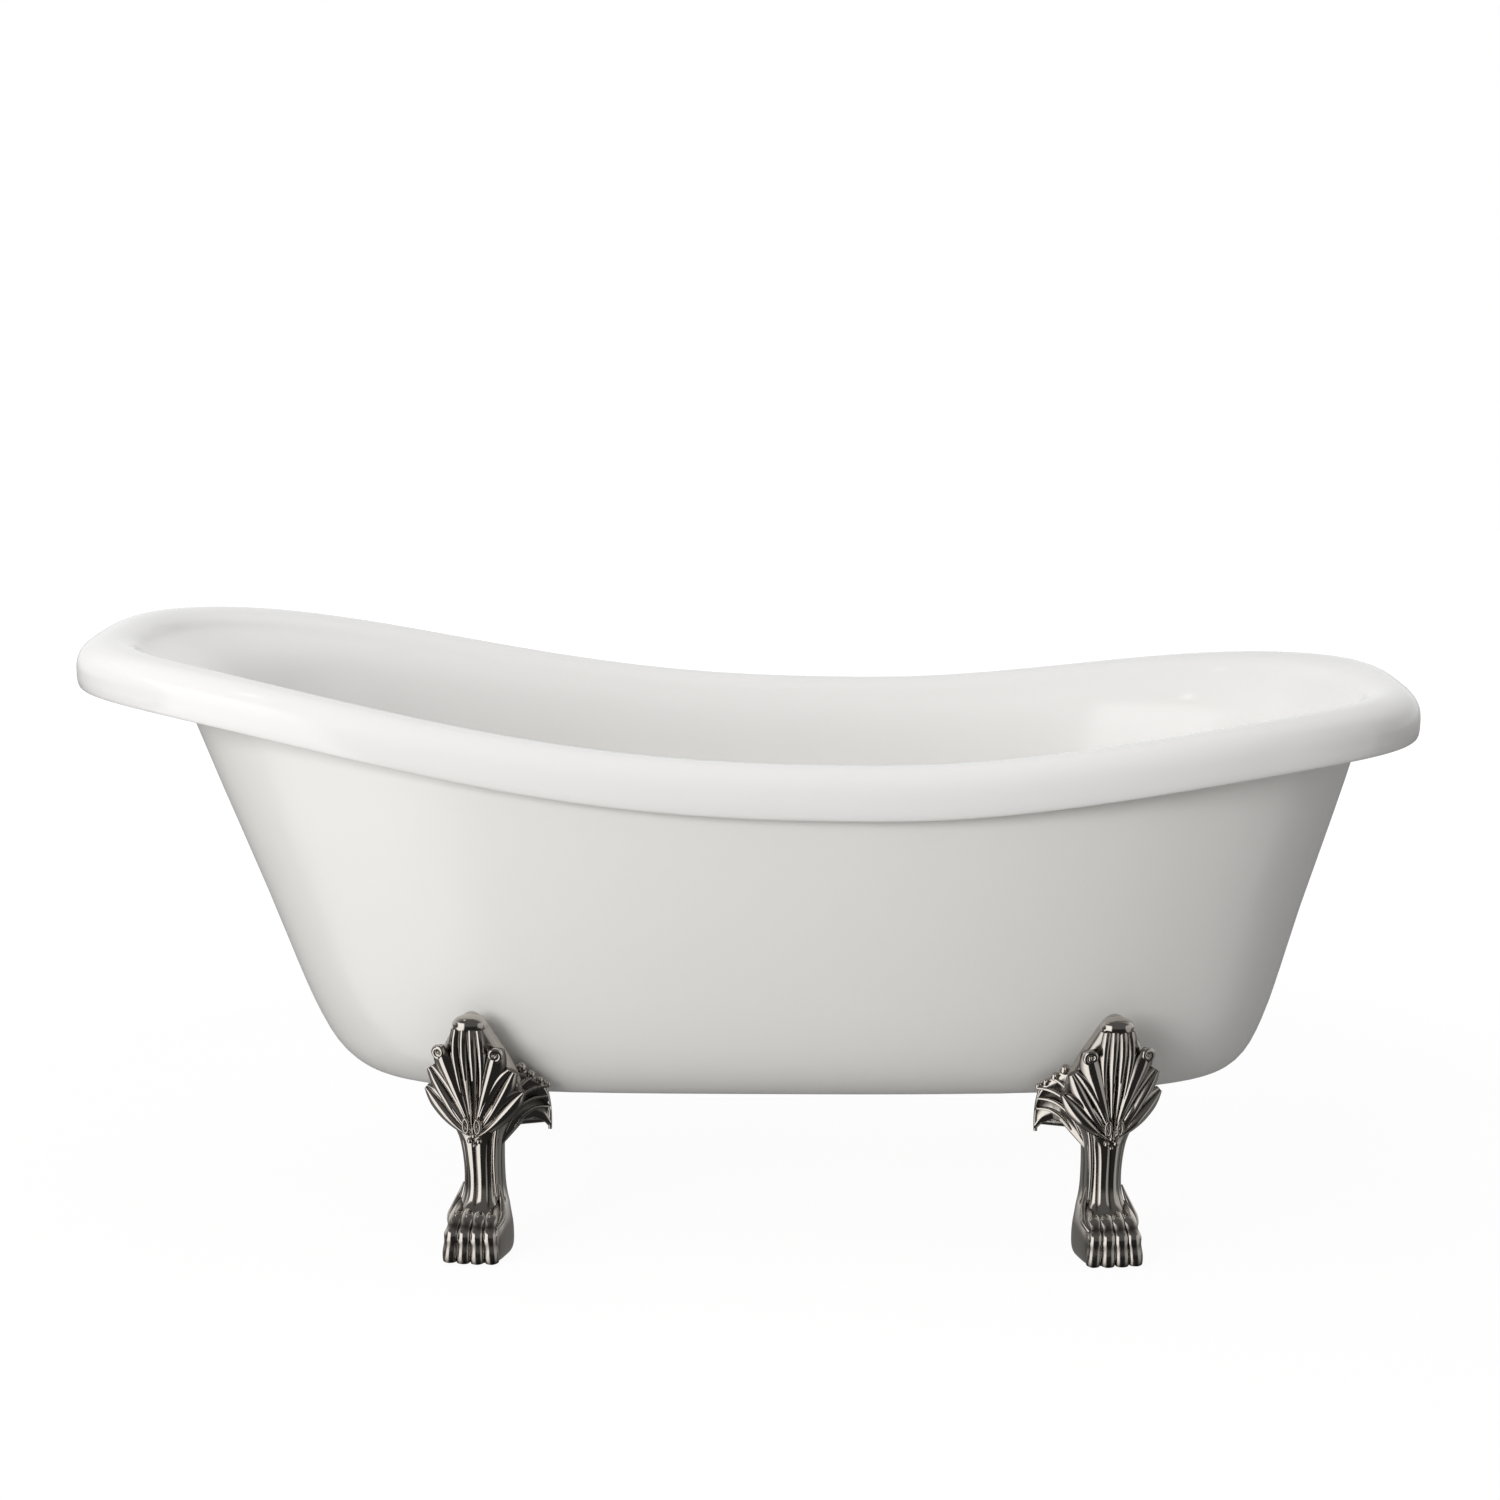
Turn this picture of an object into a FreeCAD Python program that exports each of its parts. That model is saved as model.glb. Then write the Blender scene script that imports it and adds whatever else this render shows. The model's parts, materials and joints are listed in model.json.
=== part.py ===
import FreeCAD, Part
import math
import os

V = FreeCAD.Vector
UP = V(0, 0, 1)

# ---------------------------------------------------------------- rim and sheer line
# X runs along the tub (the high slipper end is -X, the waste end +X), Y across it,
# Z up from the floor.  A plan is (left reach, right reach, half width, squareness).
RIM_OUTER_PLAN = (850.0, 850.0, 385.0, 3.25)
RIM_INNER_PLAN = (775.0, 781.0, 330.0, 2.85)
SHEER_LOW_Z = 613.0          # height of the rim's inner edge at its lowest point
SHEER_LOW_X = 174.0          # where that lowest point lies
SHEER_LEFT_Z = 732.0         # the same edge at the slipper end
SHEER_RIGHT_Z = 670.0        # and at the waste end
SHEER_LEFT_EASE = 1.274      # above 1 the curve stays low for longer
SHEER_RIGHT_EASE = 0.944
CROWN_RISE = 16.0            # the roll's crown above its inner edge
LIP_DROP = (38.0, 39.0, 45.0)            # lip edge below the sheer: left, right, sides
SHELL_WALL = 8.0
BASIN_FLOOR_Z = 241.0

# ---------------------------------------------------------------- outer skirt
SKIRT_BOTTOM_Z = 187.0
SKIRT_WALL = 4.0
SKIRT_TOP_PLAN = (728.0, 787.0, 371.0, 2.9)
SKIRT_TUCK = (-33.0, -12.0, -4.0)         # skirt top against the sheer: left, right, sides

# ---------------------------------------------------------------- base board and blocks
SEAT_GAP = 0.3               # between faces that rest on each other
BOARD_THICK = 18.0
BOARD_EDGE = 32.0            # from the outermost foot bolts to the board's edges
BOARD_CORNER = 70.0
BOARD_SLOT_HALF_WIDTH = 48.0             # open-ended slot round the waste
BLOCK_SIZE = (90.0, 56.0)
BLOCK_X = (-240.0, 20.0, 280.0)
BLOCK_Y = 88.0

# ---------------------------------------------------------------- claw feet
FOOT_LEFT_X = -324.0
FOOT_RIGHT_X = 440.0
FOOT_Y = 285.0
FOOT_TURN = 15.0             # paw and leg turned from square towards the tub's end
LEAF_TURN = 12.0             # the leaf follows the wall instead
FOOT_CLEAR = 0.4             # casting to tub wall
PAW_BOTTOM_Z = 3.0
WING_TURN = 15.0             # the wing runs in towards the tub's middle by this much
WING_SQUARENESS = 3.6
BRACKET_START = 16.0
BRACKET_LENGTH = 165.0
BRACKET_WIDTH = 62.0
BRACKET_DEPTH = 40.0
BRACKET_HOLLOW_START = 30.0
BRACKET_PLATE = 6.0
BRACKET_CHEEK = 7.0
BRACKET_ARCH_RADIUS = 120.0
BRACKET_ARCH_RISE = 18.0
BOLT_REACH = 132.0           # foot bolts, measured inwards from the leg
BOLT_SPREAD = 14.0
BOLT_DIAMETER = 8.0
BOLT_HEAD_FLATS = 13.0
BOLT_HEAD_HEIGHT = 5.3
BOLT_HOLE = 9.0
WASHER_DIAMETER = 18.0
WASHER_THICK = 1.6
TEE_NUT_BARREL = 11.0
TEE_NUT_FLANGE = 22.0
TEE_NUT_FLANGE_THICK = 1.6
TEE_NUT_LENGTH = 12.0        # barrel, below its flange
THREAD_CLEAR = 0.08          # radial, at every screw thread and running fit

# ---------------------------------------------------------------- levelling pads
PAD_DIAMETER = 34.0
PAD_HEIGHT = 9.0
PAD_CHAMFER = 1.0
PAD_POCKET_CLEAR = 1.0
PAD_SOCKET_DEPTH = 4.0
PAD_OUTWARD = 15.0           # under the middle of the paw
STUD_DIAMETER = 10.0
STUD_LENGTH = 46.0
STUD_HEX_FLATS = 17.0
STUD_HEX_HEIGHT = 4.0

# ---------------------------------------------------------------- waste
WASTE_X = 467.0
WASTE_HOLE = 50.0
WASTE_FLANGE_DIAMETER = 70.0
WASTE_FLANGE_THICK = 4.0
WASTE_TUBE_OUTER = 46.0
WASTE_TUBE_INNER = 38.0
NUT_SPACE = 4.5              # between the lock nut and the tail's nut
WASTE_SPIDER_DROP = 46.0     # the cross that holds the plug cartridge, below the flange
WASTE_SPIDER_THICK = 4.0
WASTE_SPIDER_ARM = 6.0
WASTE_SLOT = 9.0             # holes that let overflow water into the tube
WASTE_SLOT_COUNT = 4
GASKET_THICK = 2.0
GASKET_DIAMETER = 66.0
TEE_OUTER = 64.0
TEE_WALL = 4.0
TEE_HEIGHT = 36.0
TEE_INLET_OUTER = 30.0
TEE_INLET_LENGTH = 62.0      # from the waste's axis to the inlet's mouth
LOCK_NUT_FLATS = 56.0
LOCK_NUT_HEIGHT = 10.0
SKIRT_WASTE_HOLE = 76.0
TAIL_OUTER = 40.0
TAIL_INNER = 36.0
TAIL_BOTTOM_Z = 60.0
TAIL_SPIGOT = 90.0           # the straight length that goes into the trap
TAIL_NECK_OUTER = 39.0       # above it, where the nut slides
TAIL_NUT_OUTER = 54.0
TAIL_NUT_HEIGHT = 24.0
TAIL_NUT_GRIP = 16.0         # the nut's length on the threaded tube
TAIL_COLLAR = 3.0

# ---------------------------------------------------------------- pop-up plug
PLUG_DIAMETER = 62.0
PLUG_EDGE = 2.0
PLUG_DOME = 5.0
PLUG_SEAL_DIAMETER = 45.0
PLUG_SEAL_BORE = 22.0
PLUG_MOUTH = 48.0
PLUG_MOUTH_DEPTH = 2.5
PLUG_LEDGE_DIAMETER = 32.0
PLUG_LEDGE_THICK = 2.0
PLUG_STEM_DIAMETER = 9.0
CARTRIDGE_DIAMETER = 20.0
CARTRIDGE_TOP_DROP = 12.0    # top of the cartridge below the flange
SPRING_HEIGHT = 10.0
SPRING_DIAMETER = 8.0
SPRING_BORE = 6.0

# ---------------------------------------------------------------- overflow
OVERFLOW_Z = 577.0           # centre of the hole in the waste end's wall
OVERFLOW_HOLE = 48.0
OVERFLOW_PLATE = 68.0
OVERFLOW_PLATE_THICK = 5.0
OVERFLOW_PLATE_GAP = 1.0     # the plate is flat and the wall is not quite
OVERFLOW_SLOT = 7.0
OVERFLOW_SLOT_CIRCLE = 15.0
OVERFLOW_SLOT_COUNT = 6
OVERFLOW_SCREW = 6.0
OVERFLOW_SCREW_HEAD = 11.0
OVERFLOW_SCREW_HEAD_HEIGHT = 2.5
OVERFLOW_BAR_WIDTH = 10.0    # bar across the cup that the screw holds in
OVERFLOW_GASKET = 3.5
OVERFLOW_FLANGE = 62.0
OVERFLOW_FLANGE_THICK = 4.0
OVERFLOW_CUP_OUTER = 44.0
OVERFLOW_CUP_INNER = 38.0
OVERFLOW_CUP_DEPTH = 28.0
OVERFLOW_PIPE_OUTER = 22.0
OVERFLOW_PIPE_INNER = 19.0
OVERFLOW_BEND_RADIUS = 50.0
OVERFLOW_LEVEL_RUN = 84.0    # from the tee's mouth to the corner of the pipe's bend
OVERFLOW_SOCKET_DEPTH = 14.0
OVERFLOW_NUT_FLATS = 30.0
OVERFLOW_OUTLET_WALL = 2.0
OVERFLOW_NUT_HEIGHT = 12.0

RING_POINTS = 48
FILTER_ROUNDS = 14           # enough for the ring's curve to pass through its points
HALVINGS = 40                # steps that find a height on a wall
END_BLEND_POWER = 3          # how fast an end's size gives way to the sides'

# Basin sections: height share (0 floor, 1 rim edge), left, right, half width, squareness.
BASIN_SECTIONS = (
    (0.000, 385.0, 512.0, 135.0, 2.6),
    (0.000, 415.0, 532.0, 158.0, 2.6),
    (0.000, 443.0, 550.0, 180.0, 2.6),
    (0.012, 470.0, 568.0, 202.0, 2.6),
    (0.045, 497.0, 586.0, 224.0, 2.6),
    (0.105, 524.0, 603.0, 245.0, 2.65),
    (0.190, 551.0, 620.0, 263.0, 2.7),
    (0.300, 576.0, 638.0, 277.0, 2.7),
    (0.430, 599.0, 655.0, 289.0, 2.75),
    (0.570, 625.0, 673.0, 299.0, 2.8),
    (0.700, 650.0, 692.0, 308.0, 2.8),
    (0.820, 673.0, 713.0, 315.0, 2.85),
    (0.920, 701.0, 737.0, 321.0, 2.85),
)

# Rim sections: share of the rim's width from its inner edge, share of the crown's rise,
# share of the lip's drop.
RIM_SECTIONS = (
    (0.00, -0.55, 0.00),
    (0.03, 0.05, 0.00),
    (0.15, 0.52, 0.00),
    (0.34, 0.90, 0.00),
    (0.56, 1.00, 0.00),
    (0.78, 0.70, 0.00),
    (0.94, 0.05, 0.00),
    (1.00, 0.00, 0.30),
    (1.00, 0.00, 0.56),
    (1.00, 0.00, 0.82),
)
LIP_TURN = ((0.2, 1.07), (0.8, 1.07))    # share of the wall inwards, share of the drop

# Skirt sections: height share (0 bottom, 1 top), left, right, half width, squareness.
SKIRT_SECTIONS = (
    (0.000, 412.0, 540.0, 180.0, 3.5),
    (0.000, 442.0, 570.0, 202.0, 3.5),
    (0.000, 470.0, 599.0, 220.0, 3.5),
    (0.006, 496.0, 622.0, 237.0, 3.4),
    (0.032, 519.0, 641.0, 254.0, 3.2),
    (0.075, 539.0, 655.0, 274.0, 3.1),
    (0.140, 557.0, 668.0, 291.0, 3.0),
    (0.225, 575.0, 681.0, 305.0, 3.0),
    (0.335, 596.0, 695.0, 318.0, 2.95),
    (0.460, 620.0, 712.0, 330.0, 2.9),
    (0.590, 646.0, 731.0, 341.0, 2.9),
    (0.720, 673.0, 750.0, 351.0, 2.9),
    (0.860, 700.0, 770.0, 361.0, 2.9),
)

# Foot sections: height, outward shift, half width, half depth, squareness, leaf share.
FOOT_SECTIONS = (
    (0.0, 15.0, 31.0, 41.0, 4.0, 0.0),
    (4.0, 15.0, 35.0, 46.0, 4.0, 0.0),
    (20.0, 15.0, 36.0, 47.0, 3.6, 0.0),
    (37.0, 14.0, 36.0, 46.0, 3.2, 0.0),
    (50.0, 9.0, 32.0, 41.0, 2.9, 0.0),
    (62.0, 1.0, 27.0, 37.0, 2.7, 0.0),
    (76.0, -5.0, 20.5, 33.0, 2.6, 0.0),
    (98.0, -7.0, 18.0, 32.0, 2.6, 0.0),
    (120.0, -5.0, 18.5, 32.0, 2.6, 0.1),
    (139.0, -1.0, 21.0, 31.0, 2.6, 0.3),
    (157.0, 6.0, 28.0, 28.0, 2.5, 0.6),
    (177.0, 11.0, 43.0, 27.0, 2.4, 0.9),
    (199.0, 15.0, 58.0, 26.0, 2.4, 1.0),
    (221.0, 20.0, 62.0, 25.0, 2.4, 1.0),
    (244.0, 26.0, 55.0, 24.0, 2.3, 1.0),
    (266.0, 32.0, 44.0, 23.0, 2.2, 1.0),
    (286.0, 37.0, 34.0, 20.0, 2.1, 1.0),
    (302.0, 40.0, 26.0, 17.0, 2.0, 1.0),
    (311.0, 41.0, 17.0, 12.0, 2.0, 1.0),
    (314.0, 41.0, 9.0, 6.0, 2.0, 1.0),
)

# Wing sections: distance from the leg towards the tub's middle, middle height, half
# height, half thickness.
WING_SECTIONS = (
    (0.0, 160.0, 30.0, 16.0),
    (22.0, 166.0, 32.0, 15.0),
    (42.0, 175.0, 28.0, 14.0),
    (60.0, 177.0, 27.0, 13.0),
    (76.0, 177.0, 28.0, 12.5),
    (85.0, 177.0, 29.0, 12.0),
)


# ---------------------------------------------------------------- curves and surfaces
def sheer(x):
    """Height of the rim's inner edge: one eased cosine each side of the low point."""
    if x < SHEER_LOW_X:
        share = (SHEER_LOW_X - x) / (RIM_OUTER_PLAN[0] + SHEER_LOW_X)
        end_z, ease = SHEER_LEFT_Z, SHEER_LEFT_EASE
    else:
        share = (x - SHEER_LOW_X) / (RIM_OUTER_PLAN[1] - SHEER_LOW_X)
        end_z, ease = SHEER_RIGHT_Z, SHEER_RIGHT_EASE
    return SHEER_LOW_Z + (end_z - SHEER_LOW_Z) * (1 - math.cos(math.pi * share ** ease)) / 2


def angles():
    return [2 * math.pi * i / RING_POINTS for i in range(RING_POINTS)]


def plan_point(plan, angle):
    """Point of a superellipse with a reach of its own to the left and to the right."""
    left, right, half_width, power = plan
    c, s = math.cos(angle), math.sin(angle)
    radius = (abs(c) ** power + abs(s) ** power) ** (-1 / power)
    return V((left if c < 0 else right) * c * radius, half_width * s * radius, 0)


def blend(values, angle):
    """A size that is set at the left end, at the right end and along the sides."""
    left, right, side = values
    c = math.cos(angle)
    return side + ((left if c < 0 else right) - side) * abs(c) ** END_BLEND_POWER


def through(ring):
    """Control points of the closed cubic curve that passes through the ring's points."""
    control = list(ring)
    count = len(ring)
    for _ in range(FILTER_ROUNDS):
        control = [
            control[i] + ring[i]
            - (control[i - 1] + control[i] * 4 + control[(i + 1) % count]) * (1 / 6)
            for i in range(count)
        ]
    return control


def shifted_rows(rows, distance):
    """Rows moved along their surface's normal; rows that climb outwards move outwards."""
    count, last = len(rows[0]), len(rows) - 1
    moved = []
    for j, row in enumerate(rows):
        before, after = rows[max(j - 1, 0)], rows[min(j + 1, last)]
        ring = []
        for i in range(count):
            along = row[(i + 1) % count] - row[i - 1]
            normal = along.cross(after[i] - before[i]).normalize()
            ring.append(row[i] + normal * distance)
        moved.append(ring)
    return moved


def row_surface(rows):
    """Bicubic surface, closed round each row and clamped at the first and last row."""
    poles = [[row[i] for row in rows] for i in range(len(rows[0]))]
    around, across = len(poles), len(rows)
    surface = Part.BSplineSurface()
    surface.buildFromPolesMultsKnots(
        poles, [1] * (around + 1), [4] + [1] * (across - 4) + [4],
        [float(k) for k in range(around + 1)], [float(k) for k in range(across - 2)],
        True, False, 3, 3)
    return surface


def row_solid(rows):
    """Solid inside a row surface whose first and last rows are flat."""
    side = row_surface(rows).toShape()
    ends = [edge for edge in side.Edges if edge.isClosed()]
    caps = [Part.Face(Part.Wire([edge.reversed()])) for edge in ends]
    solid = Part.Solid(Part.Shell([side] + caps))
    if solid.Volume < 0:
        solid.reverse()
    return solid


def cylinder(diameter, bottom_z, top_z, x=0.0, y=0.0):
    return Part.makeCylinder(diameter / 2, top_z - bottom_z, V(x, y, bottom_z))


def tube(outer, inner, bottom_z, top_z, x=0.0, y=0.0):
    return cylinder(outer, bottom_z, top_z, x, y).cut(cylinder(inner, bottom_z, top_z, x, y))


def hexagon(flats, bottom_z, top_z, x=0.0, y=0.0):
    """Hexagonal prism, measured across its flats."""
    radius = flats / math.sqrt(3)
    corners = [
        V(x + radius * math.cos(k * math.pi / 3), y + radius * math.sin(k * math.pi / 3), bottom_z)
        for k in range(7)
    ]
    return Part.Face(Part.makePolygon(corners)).extrude(UP * (top_z - bottom_z))


def box(x_range, y_range, z_range):
    size = [span[1] - span[0] for span in (x_range, y_range, z_range)]
    return Part.makeBox(*size, V(x_range[0], y_range[0], z_range[0]))


# ---------------------------------------------------------------- inner shell
def basin_rows():
    rows = []
    for share, left, right, half_width, power in BASIN_SECTIONS:
        ring = []
        for angle in angles():
            edge_z = sheer(plan_point(RIM_INNER_PLAN, angle).x)
            point = plan_point((left, right, half_width, power), angle)
            point.z = BASIN_FLOOR_Z + (edge_z - BASIN_FLOOR_Z) * share
            ring.append(point)
        rows.append(through(ring))
    return rows


def rim_ring(width_share, rise_share, drop_share, inset=0.0):
    """One ring of the roll: a place across the rim's width, raised or dropped."""
    ring = []
    for angle in angles():
        left, right, half_width, power = RIM_OUTER_PLAN
        outer = plan_point((left - inset, right - inset, half_width - inset, power), angle)
        point = plan_point(RIM_INNER_PLAN, angle) * (1 - width_share) + outer * width_share
        drop = blend(LIP_DROP, angle) * drop_share
        point.z = sheer(point.x) + CROWN_RISE * rise_share - drop
        ring.append(point)
    return through(ring)


def shell_face_rows():
    """The face that shows: from the basin floor up, over the roll and down the lip."""
    return basin_rows() + [rim_ring(*section) for section in RIM_SECTIONS]


def wall_place(rows, height):
    """Point and outward normal of a face at the waste end's middle, at a given height."""
    surface = row_surface(rows)
    u_low, u_high, v_low, v_high = surface.bounds()
    u = min((surface.value(k, v_high / 2).x * -1, k) for k in range(int(u_high)))[1]
    for _ in range(HALVINGS):
        v = (v_low + v_high) / 2
        if surface.value(u, v).z < height:
            v_low = v
        else:
            v_high = v
    normal = surface.normal(u, v)
    normal = normal * (1 if normal.x > 0 else -1)
    return surface.value(u, v), V(normal.x, 0, normal.z).normalize()


def overflow_place():
    """Centre of the overflow on the basin wall, and the direction out of the basin."""
    return wall_place(basin_rows(), OVERFLOW_Z)


def inner_shell():
    face = shell_face_rows()
    turn = [rim_ring(1.0, 0.0, drop, SHELL_WALL * share) for share, drop in LIP_TURN]
    back = shifted_rows(face, SHELL_WALL)
    shell = row_solid(face + turn + back[::-1])
    shell = shell.cut(cylinder(WASTE_HOLE, 0, BASIN_FLOOR_Z + SHELL_WALL, WASTE_X))
    centre, outward = overflow_place()
    reach = SHELL_WALL * 4
    hole = Part.makeCylinder(OVERFLOW_HOLE / 2, 2 * reach, centre - outward * reach, outward)
    return shell.cut(hole)


# ---------------------------------------------------------------- outer skirt
def skirt_rows():
    rows = []
    for share, left, right, half_width, power in SKIRT_SECTIONS + ((1.0,) + SKIRT_TOP_PLAN,):
        ring = []
        for angle in angles():
            top_z = sheer(plan_point(SKIRT_TOP_PLAN, angle).x) + blend(SKIRT_TUCK, angle)
            point = plan_point((left, right, half_width, power), angle)
            point.z = SKIRT_BOTTOM_Z + (top_z - SKIRT_BOTTOM_Z) * share
            ring.append(point)
        rows.append(through(ring))
    return rows


def outer_skirt():
    rows = skirt_rows()
    skirt = row_solid(rows + shifted_rows(rows, -SKIRT_WALL)[::-1])
    low, high = SKIRT_BOTTOM_Z - SKIRT_WALL, SKIRT_BOTTOM_Z + 2 * SKIRT_WALL
    skirt = skirt.cut(cylinder(SKIRT_WASTE_HOLE, low, high, WASTE_X))
    for x, y in bolt_places():
        skirt = skirt.cut(cylinder(BOLT_HOLE, low, high, x, y))
    return skirt


def skirt_outline(clearance):
    """The space that the skirt fills, grown by a clearance and carried straight up."""
    rows = shifted_rows(skirt_rows(), clearance)
    ceiling = SHEER_LEFT_Z * 2
    top = [[V(point.x, point.y, ceiling) for point in rows[-1]]]
    lift = [[point + (high - point) * 0.5 for point, high in zip(rows[-1], top[0])]]
    return row_solid(rows + lift + top)


# ---------------------------------------------------------------- base board and blocks
BOARD_LEFT_X = FOOT_LEFT_X - BOLT_SPREAD - BOARD_EDGE
BOARD_RIGHT_X = FOOT_RIGHT_X + BOLT_SPREAD + BOARD_EDGE
BOARD_HALF_WIDTH = FOOT_Y - BOLT_REACH + BOARD_EDGE
BOARD_BOTTOM_Z = SKIRT_BOTTOM_Z + SKIRT_WALL + SEAT_GAP
BOARD_TOP_Z = BOARD_BOTTOM_Z + BOARD_THICK
BASIN_UNDERSIDE_Z = BASIN_FLOOR_Z - SHELL_WALL


def base_board():
    board = box((BOARD_LEFT_X, BOARD_RIGHT_X), (-BOARD_HALF_WIDTH, BOARD_HALF_WIDTH),
                (BOARD_BOTTOM_Z, BOARD_TOP_Z))
    corners = [edge for edge in board.Edges if abs(edge.tangentAt(edge.FirstParameter).z) > 0.9]
    board = board.makeFillet(BOARD_CORNER, corners)
    slot_left = WASTE_X - BOARD_SLOT_HALF_WIDTH
    slot = box((slot_left, 2 * BOARD_RIGHT_X), (-BOARD_SLOT_HALF_WIDTH, BOARD_SLOT_HALF_WIDTH),
               (BOARD_BOTTOM_Z, BOARD_TOP_Z))
    board = board.cut(slot)
    for x, y in bolt_places():
        hole = TEE_NUT_BARREL + 2 * THREAD_CLEAR
        board = board.cut(cylinder(hole, BOARD_BOTTOM_Z, BOARD_TOP_Z, x, y))
    return board


def support_blocks():
    """Timber packers between the board and the underside of the basin."""
    length, width = BLOCK_SIZE
    blocks = []
    for x in BLOCK_X:
        for y in (-BLOCK_Y, BLOCK_Y):
            blocks.append(box((x - length / 2, x + length / 2), (y - width / 2, y + width / 2),
                              (BOARD_TOP_Z + SEAT_GAP, BASIN_UNDERSIDE_Z - SEAT_GAP)))
    return Part.makeCompound(blocks)


# ---------------------------------------------------------------- claw feet
def foot_corners():
    """Name, leg position and the signs that mirror the front left foot into each corner."""
    corners = []
    for end, x, sign_x in (("left", FOOT_LEFT_X, 1), ("right", FOOT_RIGHT_X, -1)):
        for side, sign_y in (("front", 1), ("rear", -1)):
            corners.append((side + "_" + end, V(x, -FOOT_Y * sign_y, 0), sign_x, sign_y))
    return corners


def foot_point(outward, sideways, turn):
    """A point of the front left foot, outward from the leg and sideways to the middle."""
    a = math.radians(turn)
    return V(sideways * math.cos(a) - outward * math.sin(a),
             -outward * math.cos(a) - sideways * math.sin(a), 0)


def at_corner(point, corner):
    """Carries a point of the front left foot to its corner of the tub."""
    _, leg, sign_x, sign_y = corner
    return V(leg.x + sign_x * point.x, leg.y + sign_y * point.y, point.z)


def bolt_places():
    places = []
    for corner in foot_corners():
        for sideways in (-BOLT_SPREAD, BOLT_SPREAD):
            place = at_corner(V(sideways, BOLT_REACH, 0), corner)
            places.append((place.x, place.y))
    return places


def foot_body():
    """Paw, leg and leaf as one smooth form, still without the tub's shape at its back."""
    rows = []
    for height, outward, half_width, half_depth, power, leaf in FOOT_SECTIONS:
        turn = FOOT_TURN + (LEAF_TURN - FOOT_TURN) * leaf
        ring = []
        for angle in angles():
            flat = plan_point((half_width, half_width, half_depth, power), angle)
            point = foot_point(outward - flat.y, flat.x, turn)
            point.z = PAW_BOTTOM_Z + height
            ring.append(point)
        rows.append(through(ring))
    return row_solid(rows)


def bracket():
    """Channel that runs straight in under the tub: a flat plate between arched cheeks."""
    top = SKIRT_BOTTOM_Z - FOOT_CLEAR
    half, bottom = BRACKET_WIDTH / 2, SKIRT_BOTTOM_Z - FOOT_CLEAR - BRACKET_DEPTH
    inside = half - BRACKET_CHEEK
    block = box((-half, half), (BRACKET_START, BRACKET_LENGTH), (bottom, top))
    hollow = box((-inside, inside), (BRACKET_HOLLOW_START, BRACKET_LENGTH),
                 (bottom, top - BRACKET_PLATE))
    arch_start = V(-half, BRACKET_LENGTH, bottom + BRACKET_ARCH_RISE - BRACKET_ARCH_RADIUS)
    arch = Part.makeCylinder(BRACKET_ARCH_RADIUS, BRACKET_WIDTH, arch_start, V(1, 0, 0))
    channel = block.cut(hollow).cut(arch)
    for sideways in (-BOLT_SPREAD, BOLT_SPREAD):
        channel = channel.cut(cylinder(BOLT_HOLE, top - BRACKET_PLATE, top, sideways, BOLT_REACH))
    return channel


def wing():
    """Web from the leg along the tub's lower corner, towards the middle of the tub."""
    a = math.radians(WING_TURN)
    along, across = V(math.cos(a), math.sin(a), 0), V(math.sin(a), -math.cos(a), 0)
    rows = []
    for distance, middle, half_height, half_thick in WING_SECTIONS:
        plan = (half_thick, half_thick, half_height, WING_SQUARENESS)
        ring = []
        for angle in angles():
            flat = plan_point(plan, angle)
            ring.append(along * distance + across * flat.x + UP * (middle + flat.y))
        rows.append(through(ring))
    return row_solid(rows)


def pad_place():
    """Middle of the levelling pad under the front left paw."""
    return foot_point(PAD_OUTWARD, 0.0, FOOT_TURN)


def foot():
    """The front left casting, cut to the tub and bored for its levelling stud."""
    place = pad_place()
    pocket_top = PAD_HEIGHT + STUD_HEX_HEIGHT + PAD_POCKET_CLEAR
    bore = STUD_DIAMETER + 2 * THREAD_CLEAR
    pocket = cylinder(PAD_DIAMETER + 2 * PAD_POCKET_CLEAR, 0, pocket_top, place.x, place.y)
    stud_hole = cylinder(bore, 0, stud_top_z() + PAD_POCKET_CLEAR, place.x, place.y)
    casting = foot_body().fuse(bracket()).fuse(wing()).cut(pocket).cut(stud_hole)
    tub = skirt_outline(FOOT_CLEAR)
    tub.translate(V(-FOOT_LEFT_X, FOOT_Y, 0))
    solids = casting.cut(tub).Solids
    return max(solids, key=lambda solid: solid.Volume)


def mirrored(shape, corner):
    """A copy of a front left piece at the given corner."""
    _, leg, sign_x, sign_y = corner
    for sign, across in ((sign_x, V(1, 0, 0)), (sign_y, V(0, 1, 0))):
        if sign < 0:
            shape = shape.mirror(V(0, 0, 0), across)
    return shape.translated(leg)


# ---------------------------------------------------------------- levelling pads
def stud_top_z():
    return PAD_HEIGHT - PAD_SOCKET_DEPTH + SEAT_GAP + STUD_LENGTH


def levelling_pad():
    place = pad_place()
    socket = STUD_DIAMETER + 2 * THREAD_CLEAR
    disc = cylinder(PAD_DIAMETER, 0, PAD_HEIGHT, place.x, place.y)
    disc = disc.makeChamfer(PAD_CHAMFER, disc.Edges)
    return disc.cut(cylinder(socket, PAD_HEIGHT - PAD_SOCKET_DEPTH, PAD_HEIGHT, place.x, place.y))


def levelling_stud():
    """Screw with a hexagon above the pad, free to turn in the pad's socket."""
    place = pad_place()
    low = PAD_HEIGHT - PAD_SOCKET_DEPTH + SEAT_GAP
    shank = cylinder(STUD_DIAMETER, low, stud_top_z(), place.x, place.y)
    hexagon_low = PAD_HEIGHT + SEAT_GAP
    return shank.fuse(hexagon(STUD_HEX_FLATS, hexagon_low, hexagon_low + STUD_HEX_HEIGHT,
                              place.x, place.y))


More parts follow.
